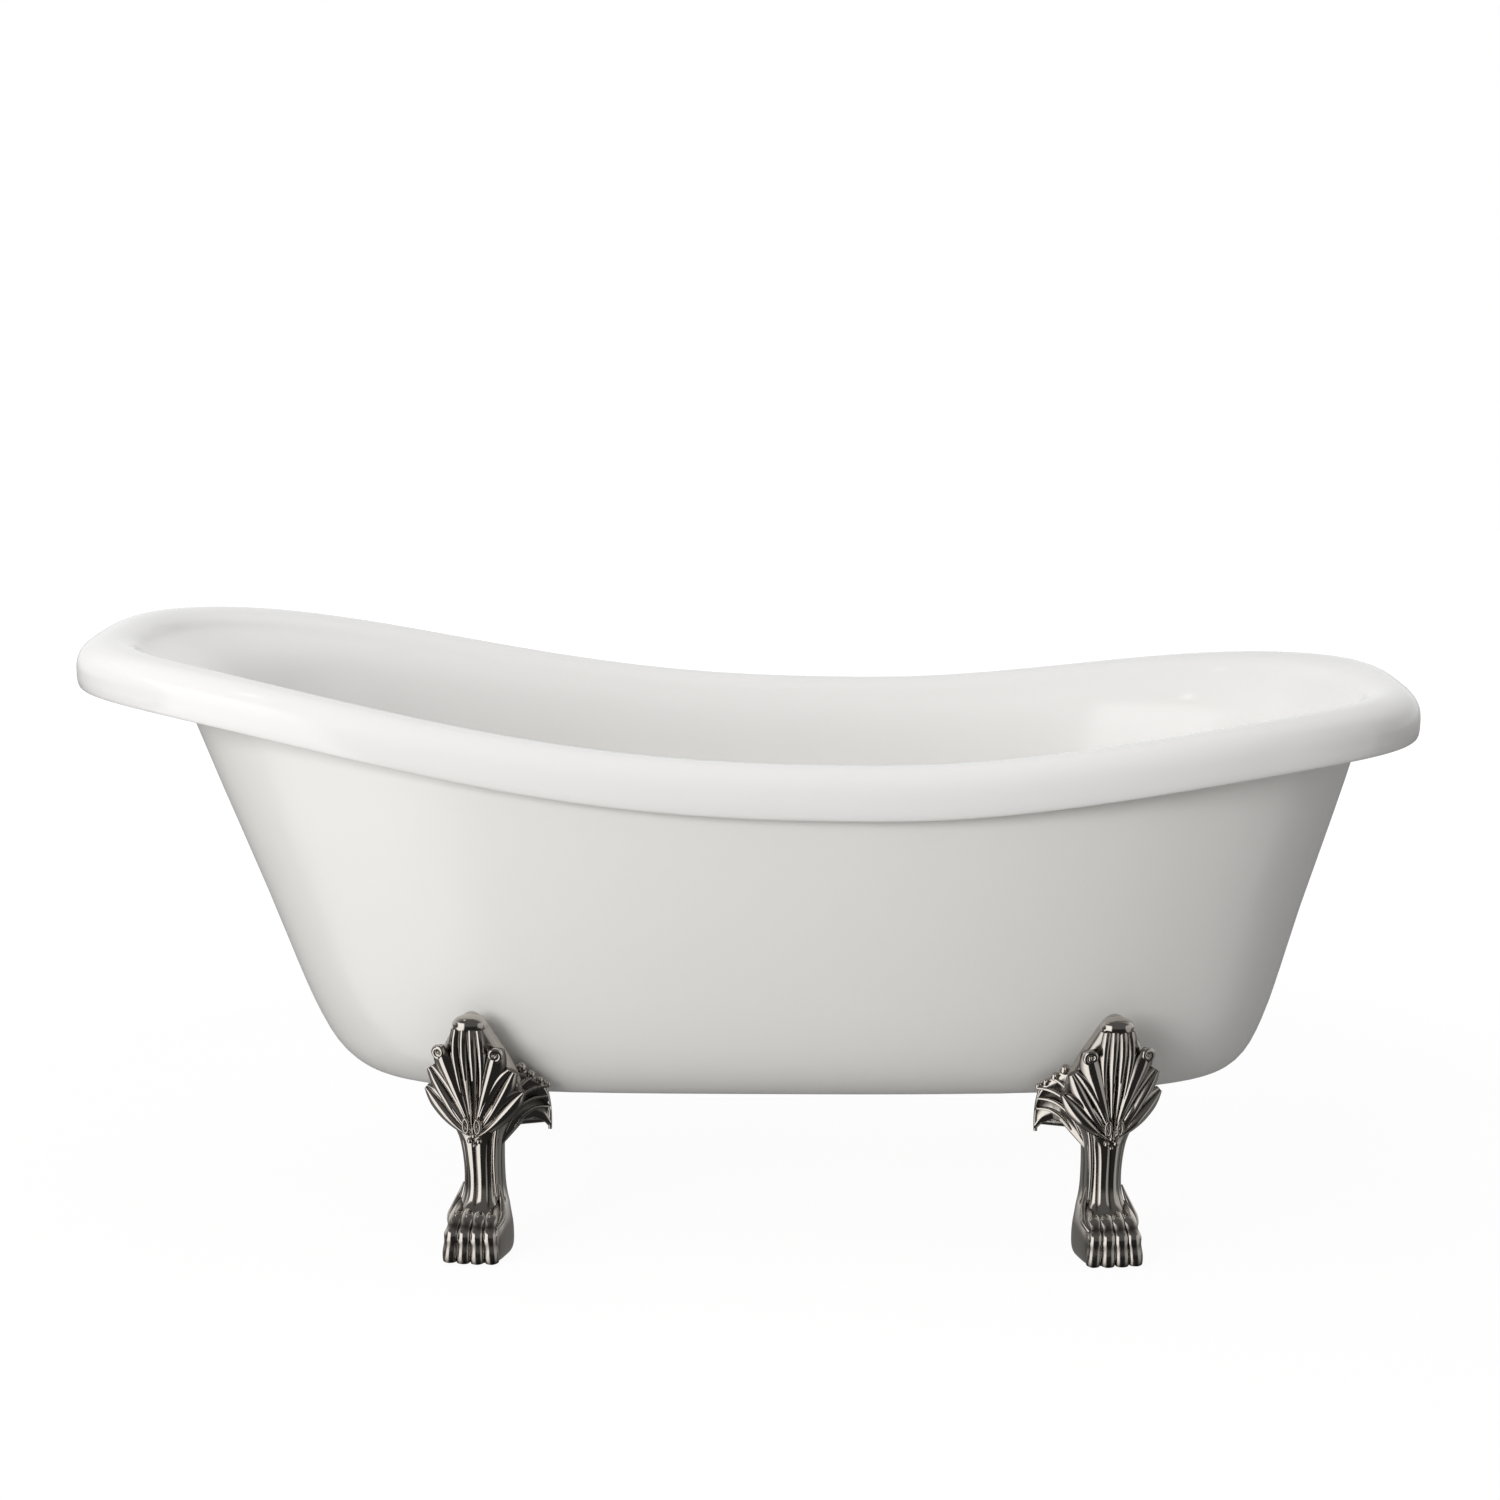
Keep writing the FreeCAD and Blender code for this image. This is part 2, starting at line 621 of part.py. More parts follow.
# ---------------------------------------------------------------- foot fasteners
PLATE_UNDERSIDE_Z = SKIRT_BOTTOM_Z - FOOT_CLEAR - BRACKET_PLATE


def foot_washers():
    top = PLATE_UNDERSIDE_Z - SEAT_GAP
    return Part.makeCompound([
        tube(WASHER_DIAMETER, BOLT_HOLE, top - WASHER_THICK, top, x, y) for x, y in bolt_places()])


def foot_bolts():
    head_top = PLATE_UNDERSIDE_Z - 2 * SEAT_GAP - WASHER_THICK
    bolts = []
    for x, y in bolt_places():
        head = hexagon(BOLT_HEAD_FLATS, head_top - BOLT_HEAD_HEIGHT, head_top, x, y)
        bolts.append(head.fuse(cylinder(BOLT_DIAMETER, head_top, BOARD_TOP_Z, x, y)))
    return Part.makeCompound(bolts)


def tee_nuts():
    """Nuts let into the board from above, one on each foot bolt."""
    nuts = []
    bore = BOLT_DIAMETER + 2 * THREAD_CLEAR
    flange_bottom = BOARD_TOP_Z + SEAT_GAP
    for x, y in bolt_places():
        barrel = cylinder(TEE_NUT_BARREL, flange_bottom - TEE_NUT_LENGTH, flange_bottom, x, y)
        flange = cylinder(TEE_NUT_FLANGE, flange_bottom, flange_bottom + TEE_NUT_FLANGE_THICK, x, y)
        nuts.append(barrel.fuse(flange).cut(cylinder(bore, BOARD_BOTTOM_Z, BASIN_FLOOR_Z, x, y)))
    return Part.makeCompound(nuts)


# ---------------------------------------------------------------- waste
FLANGE_BOTTOM_Z = BASIN_FLOOR_Z + GASKET_THICK + 2 * SEAT_GAP
FLANGE_TOP_Z = FLANGE_BOTTOM_Z + WASTE_FLANGE_THICK
MOUTH_Z = FLANGE_TOP_Z - PLUG_MOUTH_DEPTH
TEE_TOP_Z = BASIN_UNDERSIDE_Z - GASKET_THICK - 2 * SEAT_GAP
TEE_BOTTOM_Z = TEE_TOP_Z - TEE_HEIGHT
TEE_MIDDLE_Z = (TEE_TOP_Z + TEE_BOTTOM_Z) / 2
LOCK_NUT_TOP_Z = TEE_BOTTOM_Z - SEAT_GAP
LOCK_NUT_BOTTOM_Z = LOCK_NUT_TOP_Z - LOCK_NUT_HEIGHT
TAIL_NUT_TOP_Z = LOCK_NUT_BOTTOM_Z - NUT_SPACE
TUBE_BOTTOM_Z = TAIL_NUT_TOP_Z - TAIL_NUT_GRIP
WASTE_BORE = WASTE_TUBE_OUTER + 2 * THREAD_CLEAR
SPIDER_TOP_Z = FLANGE_TOP_Z - WASTE_SPIDER_DROP
SPIDER_BOTTOM_Z = SPIDER_TOP_Z - WASTE_SPIDER_THICK
CARTRIDGE_TOP_Z = FLANGE_TOP_Z - CARTRIDGE_TOP_DROP


def drain_flange():
    """Flange and threaded tube in one, with a cross inside it and overflow holes."""
    flange = cylinder(WASTE_FLANGE_DIAMETER, FLANGE_BOTTOM_Z, FLANGE_TOP_Z, WASTE_X)
    flange = flange.makeFillet(WASTE_FLANGE_THICK * 0.4, [flange.Edges[0]])
    body = flange.fuse(cylinder(WASTE_TUBE_OUTER, TUBE_BOTTOM_Z, FLANGE_TOP_Z, WASTE_X))
    body = body.cut(cylinder(WASTE_TUBE_INNER, TUBE_BOTTOM_Z, FLANGE_TOP_Z, WASTE_X))
    body = body.cut(cylinder(PLUG_MOUTH, MOUTH_Z, FLANGE_TOP_Z, WASTE_X))
    reach, arm = (WASTE_TUBE_INNER + WASTE_TUBE_OUTER) / 4, WASTE_SPIDER_ARM / 2
    levels = (SPIDER_BOTTOM_Z, SPIDER_TOP_Z)
    body = body.fuse(box((WASTE_X - reach, WASTE_X + reach), (-arm, arm), levels))
    body = body.fuse(box((WASTE_X - arm, WASTE_X + arm), (-reach, reach), levels))
    for k in range(WASTE_SLOT_COUNT):
        turn = 2 * math.pi * (k + 0.5) / WASTE_SLOT_COUNT
        direction = V(math.cos(turn), math.sin(turn), 0)
        body = body.cut(Part.makeCylinder(WASTE_SLOT / 2, WASTE_TUBE_OUTER,
                                          V(WASTE_X, 0, TEE_MIDDLE_Z), direction))
    return body.removeSplitter()


def drain_gasket_upper():
    bottom = BASIN_FLOOR_Z + SEAT_GAP
    return tube(GASKET_DIAMETER, WASTE_HOLE, bottom, bottom + GASKET_THICK, WASTE_X)


def drain_gasket_lower():
    top = BASIN_UNDERSIDE_Z - SEAT_GAP
    return tube(GASKET_DIAMETER, WASTE_BORE, top - GASKET_THICK, top, WASTE_X)


def inlet_mouth():
    """Mouth of the overflow inlet at the tee's side."""
    return V(WASTE_X + TEE_INLET_LENGTH, 0, TEE_MIDDLE_Z)


def waste_tee():
    """Collar round the threaded tube with a ring channel and a side inlet."""
    along = V(1, 0, 0)
    start = V(WASTE_X, 0, TEE_MIDDLE_Z)
    body = cylinder(TEE_OUTER, TEE_BOTTOM_Z, TEE_TOP_Z, WASTE_X)
    body = body.fuse(Part.makeCylinder(TEE_INLET_OUTER / 2, TEE_INLET_LENGTH, start, along))
    body = body.cut(cylinder(WASTE_BORE, TEE_BOTTOM_Z, TEE_TOP_Z, WASTE_X))
    channel = OVERFLOW_PIPE_INNER / 2
    ring = cylinder(TEE_OUTER - 2 * TEE_WALL, TEE_MIDDLE_Z - channel, TEE_MIDDLE_Z + channel, WASTE_X)
    body = body.cut(ring)
    body = body.cut(Part.makeCylinder(channel, TEE_INLET_LENGTH, start, along))
    socket = Part.makeCylinder(OVERFLOW_PIPE_OUTER / 2 + THREAD_CLEAR, OVERFLOW_SOCKET_DEPTH,
                               inlet_mouth() - along * OVERFLOW_SOCKET_DEPTH, along)
    return body.cut(socket)


def drain_lock_nut():
    nut = hexagon(LOCK_NUT_FLATS, LOCK_NUT_BOTTOM_Z, LOCK_NUT_TOP_Z, WASTE_X)
    return nut.cut(cylinder(WASTE_BORE, LOCK_NUT_BOTTOM_Z, LOCK_NUT_TOP_Z, WASTE_X))


def tailpiece():
    """Waste pipe with a collar that its nut pulls up against the threaded tube."""
    top = TUBE_BOTTOM_Z - SEAT_GAP
    spigot_top = TAIL_BOTTOM_Z + TAIL_SPIGOT
    spigot = tube(TAIL_OUTER, TAIL_INNER, TAIL_BOTTOM_Z, spigot_top, WASTE_X)
    neck = tube(TAIL_NECK_OUTER, TAIL_INNER, spigot_top, top, WASTE_X)
    collar = tube(WASTE_TUBE_OUTER, TAIL_INNER, top - TAIL_COLLAR, top, WASTE_X)
    return spigot.fuse(neck).fuse(collar).removeSplitter()


def tailpiece_nut():
    bottom = TAIL_NUT_TOP_Z - TAIL_NUT_HEIGHT
    ledge = TUBE_BOTTOM_Z - 2 * SEAT_GAP - TAIL_COLLAR
    nut = cylinder(TAIL_NUT_OUTER, bottom, TAIL_NUT_TOP_Z, WASTE_X)
    nut = nut.cut(cylinder(WASTE_BORE, ledge, TAIL_NUT_TOP_Z, WASTE_X))
    return nut.cut(cylinder(TAIL_NECK_OUTER + 2 * THREAD_CLEAR, bottom, ledge, WASTE_X))


# ---------------------------------------------------------------- pop-up plug
PLUG_BOTTOM_Z = FLANGE_TOP_Z + SEAT_GAP


def plug_cap():
    """Shallow dome that covers the flange's mouth."""
    rim = PLUG_DIAMETER / 2
    top = PLUG_BOTTOM_Z + PLUG_EDGE
    radius = (rim ** 2 + PLUG_DOME ** 2) / (2 * PLUG_DOME)
    half_angle = math.asin(rim / radius) / 2
    centre_z = top + PLUG_DOME - radius
    start, end = V(rim, 0, top), V(0, 0, top + PLUG_DOME)
    middle = V(radius * math.sin(half_angle), 0, centre_z + radius * math.cos(half_angle))
    profile = Part.Wire([
        Part.LineSegment(V(0, 0, PLUG_BOTTOM_Z), V(rim, 0, PLUG_BOTTOM_Z)).toShape(),
        Part.LineSegment(V(rim, 0, PLUG_BOTTOM_Z), start).toShape(),
        Part.Arc(start, middle, end).toShape(),
        Part.LineSegment(end, V(0, 0, PLUG_BOTTOM_Z)).toShape(),
    ])
    dome = Part.Face(profile).revolve(V(0, 0, 0), UP, 360)
    dome.translate(V(WASTE_X, 0, 0))
    return dome


def plug_seal():
    top = PLUG_BOTTOM_Z - SEAT_GAP
    return tube(PLUG_SEAL_DIAMETER, PLUG_SEAL_BORE, MOUTH_Z + SEAT_GAP, top, WASTE_X)


def stem_bottom_z():
    return SPIDER_TOP_Z + WASTE_SPIDER_THICK + SPRING_HEIGHT + 2 * SEAT_GAP


def plug_stem():
    """Stem under the cap, with a plate that carries the seal."""
    ledge_bottom = MOUTH_Z - PLUG_LEDGE_THICK
    boss_top = PLUG_BOTTOM_Z - SEAT_GAP
    boss = cylinder(PLUG_SEAL_BORE - 2 * THREAD_CLEAR, ledge_bottom, boss_top, WASTE_X)
    ledge = cylinder(PLUG_LEDGE_DIAMETER, ledge_bottom, MOUTH_Z, WASTE_X)
    stem = cylinder(PLUG_STEM_DIAMETER, stem_bottom_z(), ledge_bottom, WASTE_X)
    return stem.fuse(boss).fuse(ledge).removeSplitter()


def plug_cartridge():
    """Barrel on the cross that guides the stem and holds the spring."""
    bottom = SPIDER_TOP_Z + SEAT_GAP
    body = cylinder(CARTRIDGE_DIAMETER, bottom, CARTRIDGE_TOP_Z, WASTE_X)
    bore = PLUG_STEM_DIAMETER + 2 * THREAD_CLEAR
    return body.cut(cylinder(bore, SPIDER_TOP_Z + WASTE_SPIDER_THICK, CARTRIDGE_TOP_Z, WASTE_X))


def plug_spring():
    bottom = SPIDER_TOP_Z + WASTE_SPIDER_THICK + SEAT_GAP
    return tube(SPRING_DIAMETER, SPRING_BORE, bottom, bottom + SPRING_HEIGHT, WASTE_X)


# ---------------------------------------------------------------- overflow
def overflow_frame():
    """Turns pieces drawn along Z, seen from the basin, onto the sloping end wall."""
    centre, outward = overflow_place()
    return FreeCAD.Placement(centre, FreeCAD.Rotation(UP, outward))


def on_wall(shape):
    shape.Placement = overflow_frame().multiply(shape.Placement)
    return shape


def overflow_faceplate():
    """Round plate in front of the hole, with a ring of drain holes and a screw hole."""
    back = -OVERFLOW_PLATE_GAP
    plate = cylinder(OVERFLOW_PLATE, back - OVERFLOW_PLATE_THICK, back)
    plate = plate.makeFillet(OVERFLOW_PLATE_THICK * 0.5, [plate.Edges[2]])
    plate = plate.cut(cylinder(OVERFLOW_SCREW + 2 * THREAD_CLEAR, -OVERFLOW_PLATE, OVERFLOW_PLATE))
    for k in range(OVERFLOW_SLOT_COUNT):
        turn = 2 * math.pi * (k + 0.5) / OVERFLOW_SLOT_COUNT
        plate = plate.cut(cylinder(OVERFLOW_SLOT, -OVERFLOW_PLATE, OVERFLOW_PLATE,
                                   OVERFLOW_SLOT_CIRCLE * math.cos(turn),
                                   OVERFLOW_SLOT_CIRCLE * math.sin(turn)))
    return on_wall(plate)


CUP_START = SHELL_WALL + OVERFLOW_GASKET + OVERFLOW_PLATE_GAP
CUP_END = CUP_START + OVERFLOW_CUP_DEPTH


def overflow_screw():
    front = -OVERFLOW_PLATE_GAP - OVERFLOW_PLATE_THICK - SEAT_GAP
    shank = cylinder(OVERFLOW_SCREW, front, CUP_START + OVERFLOW_FLANGE_THICK)
    head = cylinder(OVERFLOW_SCREW_HEAD, front - OVERFLOW_SCREW_HEAD_HEIGHT, front)
    return on_wall(shank.fuse(head))


def overflow_gasket():
    start = SHELL_WALL + OVERFLOW_PLATE_GAP
    return on_wall(tube(OVERFLOW_FLANGE, OVERFLOW_HOLE, start, start + OVERFLOW_GASKET - SEAT_GAP))


def outlet_start():
    """Centre of the elbow's outlet at the cup's axis, and the pipe's direction there."""
    centre, outward = overflow_place()
    start = centre + outward * (CUP_END - OVERFLOW_PIPE_OUTER / 2 - OVERFLOW_OUTLET_WALL)
    return start, (pipe_corner() - start).normalize()


def outlet_length():
    return OVERFLOW_CUP_OUTER / 2 + OVERFLOW_OUTLET_WALL + OVERFLOW_SOCKET_DEPTH


def pipe_corner():
    """Where the sloping and the level run of the overflow pipe would meet."""
    return inlet_mouth() + V(OVERFLOW_LEVEL_RUN, 0, 0)


def overflow_elbow():
    """Cup behind the wall with a flange, a bar for the screw and an outlet downwards."""
    body = cylinder(OVERFLOW_FLANGE, CUP_START, CUP_START + OVERFLOW_FLANGE_THICK)
    body = on_wall(body.fuse(cylinder(OVERFLOW_CUP_OUTER, CUP_START, CUP_END)))
    start, down = outlet_start()
    outer = OVERFLOW_PIPE_OUTER / 2 + OVERFLOW_OUTLET_WALL
    length = outlet_length()
    body = body.fuse(Part.makeCylinder(outer, length, start, down))
    wall = (OVERFLOW_CUP_OUTER - OVERFLOW_CUP_INNER) / 2
    body = body.cut(on_wall(cylinder(OVERFLOW_CUP_INNER, CUP_START, CUP_END - wall)))
    body = body.cut(Part.makeCylinder(OVERFLOW_PIPE_INNER / 2, length, start, down))
    socket = Part.makeCylinder(OVERFLOW_PIPE_OUTER / 2 + THREAD_CLEAR, OVERFLOW_SOCKET_DEPTH,
                               start + down * (length - OVERFLOW_SOCKET_DEPTH), down)
    reach, half = (OVERFLOW_CUP_INNER + OVERFLOW_CUP_OUTER) / 4, OVERFLOW_BAR_WIDTH / 2
    bar = box((-reach, reach), (-half, half), (CUP_START, CUP_START + OVERFLOW_FLANGE_THICK))
    bar = bar.cut(cylinder(OVERFLOW_SCREW + 2 * THREAD_CLEAR, 0, CUP_END))
    return body.cut(socket).fuse(on_wall(bar))


def elbow_mouth():
    start, down = outlet_start()
    return start + down * outlet_length(), down


def overflow_pipe():
    """Pipe between the shells: a sloping run, one bend and a level run into the tee."""
    mouth, down = elbow_mouth()
    corner = pipe_corner()
    level = V(-1, 0, 0)
    inset = OVERFLOW_SOCKET_DEPTH - SEAT_GAP
    top = mouth - down * inset
    end = inlet_mouth() + level * inset
    turn = math.acos(down.dot(level))
    tangent = OVERFLOW_BEND_RADIUS * math.tan(turn / 2)
    bend_in, bend_out = corner - down * tangent, corner + level * tangent
    to_middle = (level - down).normalize()
    depth = OVERFLOW_BEND_RADIUS / math.cos(turn / 2) - OVERFLOW_BEND_RADIUS
    path = Part.Wire([
        Part.LineSegment(top, bend_in).toShape(),
        Part.Arc(bend_in, corner + to_middle * depth, bend_out).toShape(),
        Part.LineSegment(bend_out, end).toShape(),
    ])
    solids = []
    for diameter in (OVERFLOW_PIPE_OUTER, OVERFLOW_PIPE_INNER):
        circle = Part.Wire([Part.makeCircle(diameter / 2, top, down)])
        solids.append(path.makePipeShell([circle], True, False))
    return solids[0].cut(solids[1])


def overflow_nuts():
    """Compression nuts where the pipe enters the elbow and the tee."""
    nuts = []
    mouth, down = elbow_mouth()
    for place, direction in ((mouth, down), (inlet_mouth(), V(1, 0, 0))):
        nut = hexagon(OVERFLOW_NUT_FLATS, SEAT_GAP, SEAT_GAP + OVERFLOW_NUT_HEIGHT)
        nut = nut.cut(cylinder(OVERFLOW_PIPE_OUTER + 2 * THREAD_CLEAR, 0, 2 * OVERFLOW_NUT_HEIGHT))
        nut.Placement = FreeCAD.Placement(place, FreeCAD.Rotation(UP, direction))
        nuts.append(nut)
    return Part.makeCompound(nuts)


# ---------------------------------------------------------------- output
SINGLE_PIECES = (
    inner_shell, outer_skirt, base_board, support_blocks, tee_nuts, foot_bolts, foot_washers,
    drain_flange, drain_gasket_upper, drain_gasket_lower, waste_tee, drain_lock_nut,
    tailpiece, tailpiece_nut, plug_cap, plug_seal, plug_stem, plug_cartridge, plug_spring,
    overflow_faceplate, overflow_screw, overflow_gasket, overflow_elbow, overflow_pipe,
    overflow_nuts,
)
CORNER_PIECES = (("foot", foot), ("levelling_pad", levelling_pad), ("levelling_stud", levelling_stud))


def main():
    os.makedirs("parts", exist_ok=True)
    for piece in SINGLE_PIECES:
        piece().exportStep("parts/" + piece.__name__ + ".step")
    for name, piece in CORNER_PIECES:
        shape = piece()
        for corner in foot_corners():
            mirrored(shape, corner).exportStep("parts/" + name + "_" + corner[0] + ".step")


main()
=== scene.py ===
"""Clawfoot slipper bathtub: the looks of its shells, cast feet and fittings, and a plain studio.

Lengths are metres in Blender and millimetres in the feet's own working frame, in which s runs
sideways towards the middle of the tub, o outwards from the leg and z up.
"""
import json
import math

import bmesh
import bpy
import numpy as np
from bpy.props import FloatProperty, FloatVectorProperty, PointerProperty
from mathutils import Matrix, Vector


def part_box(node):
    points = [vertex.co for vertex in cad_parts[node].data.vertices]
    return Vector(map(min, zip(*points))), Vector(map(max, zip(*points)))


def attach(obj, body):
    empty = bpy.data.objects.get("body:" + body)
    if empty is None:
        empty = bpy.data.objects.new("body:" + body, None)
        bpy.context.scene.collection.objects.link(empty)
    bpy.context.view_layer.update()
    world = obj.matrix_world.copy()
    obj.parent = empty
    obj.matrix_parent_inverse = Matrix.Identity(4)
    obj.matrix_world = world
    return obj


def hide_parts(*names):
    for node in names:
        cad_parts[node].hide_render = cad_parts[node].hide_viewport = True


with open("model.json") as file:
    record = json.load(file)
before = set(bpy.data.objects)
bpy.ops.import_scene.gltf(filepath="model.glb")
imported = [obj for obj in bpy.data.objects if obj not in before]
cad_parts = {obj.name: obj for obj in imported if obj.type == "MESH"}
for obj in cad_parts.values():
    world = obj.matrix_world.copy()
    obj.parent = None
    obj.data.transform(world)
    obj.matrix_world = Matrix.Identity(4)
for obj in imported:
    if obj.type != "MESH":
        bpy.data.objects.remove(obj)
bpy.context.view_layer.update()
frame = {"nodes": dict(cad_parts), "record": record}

bl_info = {
    "name": "Clawfoot slipper bathtub",
    "version": (1, 0, 0),
    "blender": (4, 5, 0),
    "location": "View3D > Sidebar > Bathtub",
    "description": "Finishes a clawfoot slipper bathtub and sets it in a plain studio",
    "category": "Add Mesh",
}

MM = 0.001
WHITE = (1, 1, 1, 1)


# ------------------------------------------------------------------ colours and nodes
def linear(hex_colour):
    """Linear colour of an sRGB hex value: each channel over 255, with the sRGB curve undone."""
    channels = [int(hex_colour[i:i + 2], 16) / 255 for i in (1, 3, 5)]
    return tuple(c / 12.92 if c <= 0.04045 else ((c + 0.055) / 1.055) ** 2.4 for c in channels)


def add(tree, kind, settings=None, values=None, links=None):
    """Adds one node, with its settings, the values of its inputs and the links into them."""
    node = tree.nodes.new(kind)
    for name, value in (settings or {}).items():
        setattr(node, name, value)
    for name, value in (values or {}).items():
        node.inputs[name].default_value = value
    for name, source in (links or {}).items():
        tree.links.new(source, node.inputs[name])
    return node


def new_material(name, **values):
    """A material with one Principled shader, whose fixed values go on its own sockets."""
    material = bpy.data.materials.new(name)
    material.use_nodes = True
    tree = material.node_tree
    shader = tree.nodes["Principled BSDF"]
    for socket, value in values.items():
        shader.inputs[socket.replace("_", " ")].default_value = value
    return material, tree, shader


def coordinates(tree, stretch=(1.0, 1.0, 1.0)):
    """Object coordinates in metres, stretched along the axes where a pattern runs one way."""
    place = add(tree, "ShaderNodeTexCoord")
    return add(tree, "ShaderNodeMapping", values={"Scale": stretch},
               links={"Vector": place.outputs["Object"]}).outputs["Vector"]


def noise(tree, place, size_mm, detail=2.0):
    """Noise whose features are about size_mm across, from 0 to 1."""
    return add(tree, "ShaderNodeTexNoise", values={"Scale": 1 / (size_mm * MM), "Detail": detail},
               links={"Vector": place}).outputs["Fac"]


def maths(tree, operation, first, second):
    """The product, sum or larger one of two values."""
    return add(tree, "ShaderNodeMath", {"operation": operation},
               links={0: first, 1: second}).outputs["Value"]


def spread(tree, source, low, high, start=0.3, end=0.7):
    """Carries a pattern's value from start..end to low..high."""
    return add(tree, "ShaderNodeMapRange",
               values={"From Min": start, "From Max": end, "To Min": low, "To Max": high},
               links={"Value": source}).outputs["Result"]


def tint(tree, shader, source, first, second):
    """Mixes two linear colours by a pattern into the shader's base colour."""
    mix = add(tree, "ShaderNodeMix", {"data_type": "RGBA"}, links={"Factor": source})
    colours = [socket for socket in mix.inputs if socket.type == "RGBA"]
    colours[0].default_value = (*first, 1)
    colours[1].default_value = (*second, 1)
    output = [socket for socket in mix.outputs if socket.type == "RGBA"][0]
    tree.links.new(output, shader.inputs["Base Color"])


def bump(tree, shader, source, depth_mm):
    """Raises the surface by a pattern, depth_mm from its lowest to its highest value."""
    node = add(tree, "ShaderNodeBump", values={"Distance": depth_mm * MM},
               links={"Height": source})
    tree.links.new(node.outputs["Normal"], shader.inputs["Normal"])


def shade(colour, share):
    """The same colour, darker or lighter by a share."""
    return tuple(min(channel * share, 1.0) for channel in colour)


# ------------------------------------------------------------------ materials
def sanitary_acrylic(colour):
    # Cast acrylic sheet, drawn over a mould and polished: deep, even gloss with a faint
    # waviness about 30 mm long, which only the reflections show.
    material, tree, shader = new_material("sanitary_acrylic", Roughness=0.08, IOR=1.49)
    place = coordinates(tree)
    tint(tree, shader, noise(tree, place, 220), shade(colour, 0.985), colour)
    bump(tree, shader, noise(tree, place, 30, 1.0), 0.04)
    return material


def skirt_acrylic(colour):
    # Acrylic sheet backed with glass fibre and buffed less than the basin: a soft gloss, and
    # the glass mat's waviness just reads through.
    material, tree, shader = new_material("skirt_acrylic", IOR=1.49)
    place = coordinates(tree)
    tint(tree, shader, noise(tree, place, 260), shade(colour, 0.985), colour)
    tree.links.new(spread(tree, noise(tree, place, 90), 0.20, 0.26), shader.inputs["Roughness"])
    bump(tree, shader, noise(tree, place, 34, 1.0), 0.05)
    return material


def plated_casting(metal, painted_groove_shade):
    # Sand-cast aluminium, polished and plated in dark chrome: smooth on the buffed ridges and
    # rougher in the grooves that the wheel can't reach. Its colour carries painted shade: by the
    # relief attribute the plate's colour on the ridges darkens to a nearly black painted shade
    # in the grooves and hollows.
    material, tree, shader = new_material("plated_casting", Metallic=1.0)
    place = coordinates(tree)
    relief_shade = add(tree, "ShaderNodeAttribute", {"attribute_name": "relief_shade"}).outputs["Fac"]
    # Painted shade: the plate's own colour on the ridges, darkening to the shade colour in the
    # grooves.
    tint(tree, shader, spread(tree, relief_shade, 0.0, 1.0, 0.1, 0.6), painted_groove_shade, metal)
    wear = spread(tree, noise(tree, place, 9), 0.0, 0.07)
    rough = maths(tree, "ADD", spread(tree, relief_shade, 0.30, 0.07, 0.1, 0.7), wear)
    tree.links.new(rough, shader.inputs["Roughness"])
    bump(tree, shader, noise(tree, place, 2.4), 0.03)
    return material


def chrome_plate(colour):
    # Bright chrome on polished brass: mirror-like, with faint water marks.
    material, tree, shader = new_material("chrome_plate", Metallic=1.0)
    place = coordinates(tree)
    tree.links.new(spread(tree, noise(tree, place, 14), 0.04, 0.10), shader.inputs["Roughness"])
    tint(tree, shader, noise(tree, place, 22), shade(colour, 0.94), colour)
    return material


def turned_brass(colour):
    # Bar turned on a lathe: the tool leaves rings along it, drawn 5 mm apart so that they
    # show. The texture's wave is 2 pi / 20 of a unit long, which this scale makes 5 mm.
    material, tree, shader = new_material("turned_brass", Metallic=1.0, Roughness=0.24)
    place = coordinates(tree)
    rings = add(tree, "ShaderNodeTexWave", {"bands_direction": "Z"},
                {"Scale": 1 / (0.8 * MM * 20), "Distortion": 0.4}, {"Vector": place})
    bump(tree, shader, rings.outputs["Fac"], 0.02)
    tint(tree, shader, noise(tree, place, 16), shade(colour, 0.85), colour)
    return material


def zinc_plate(colour):
    # Bright zinc electroplate on steel: satin, with cloudy patches a few millimetres across.
    material, tree, shader = new_material("zinc_plate", Metallic=1.0)
    place = coordinates(tree)
    patches = noise(tree, place, 5, 3.0)
    tint(tree, shader, patches, shade(colour, 0.82), colour)
    tree.links.new(spread(tree, patches, 0.30, 0.44), shader.inputs["Roughness"])
    bump(tree, shader, noise(tree, place, 0.9), 0.01)
    return material


def moulded_plastic(name, colour, roughness):
    # Injection moulding from a spark-eroded mould: an even, fine matt grain about 0.8 mm.
    material, tree, shader = new_material(name, Roughness=roughness, IOR=1.5)
    place = coordinates(tree)
    tint(tree, shader, noise(tree, place, 12), shade(colour, 0.9), shade(colour, 1.08))
    bump(tree, shader, noise(tree, place, 0.8), 0.02)
    return material


def moulded_rubber(colour):
    # Black rubber pressed in a mould: matt, with a dusty bloom in patches.
    material, tree, shader = new_material("moulded_rubber", IOR=1.52)
    place = coordinates(tree)
    bloom = noise(tree, place, 8, 4.0)
    tint(tree, shader, bloom, colour, shade(colour, 1.8))
    tree.links.new(spread(tree, bloom, 0.62, 0.78), shader.inputs["Roughness"])
    bump(tree, shader, noise(tree, place, 1.1), 0.03)
    return material


def pressed_board(colour):
    # Moisture-resistant board pressed from wood flakes: flakes 6 to 20 mm long lie along it.
    material, tree, shader = new_material("pressed_board", Roughness=0.72, IOR=1.45)
    flakes = add(tree, "ShaderNodeTexVoronoi", values={"Scale": 1 / (7 * MM)},
                 links={"Vector": coordinates(tree, (0.45, 1.0, 1.0))})
    tone = add(tree, "ShaderNodeSeparateColor", links={"Color": flakes.outputs["Color"]})
    tint(tree, shader, tone.outputs["Red"], shade(colour, 0.62), shade(colour, 1.15))
    bump(tree, shader, flakes.outputs["Distance"], 0.25)
    return material


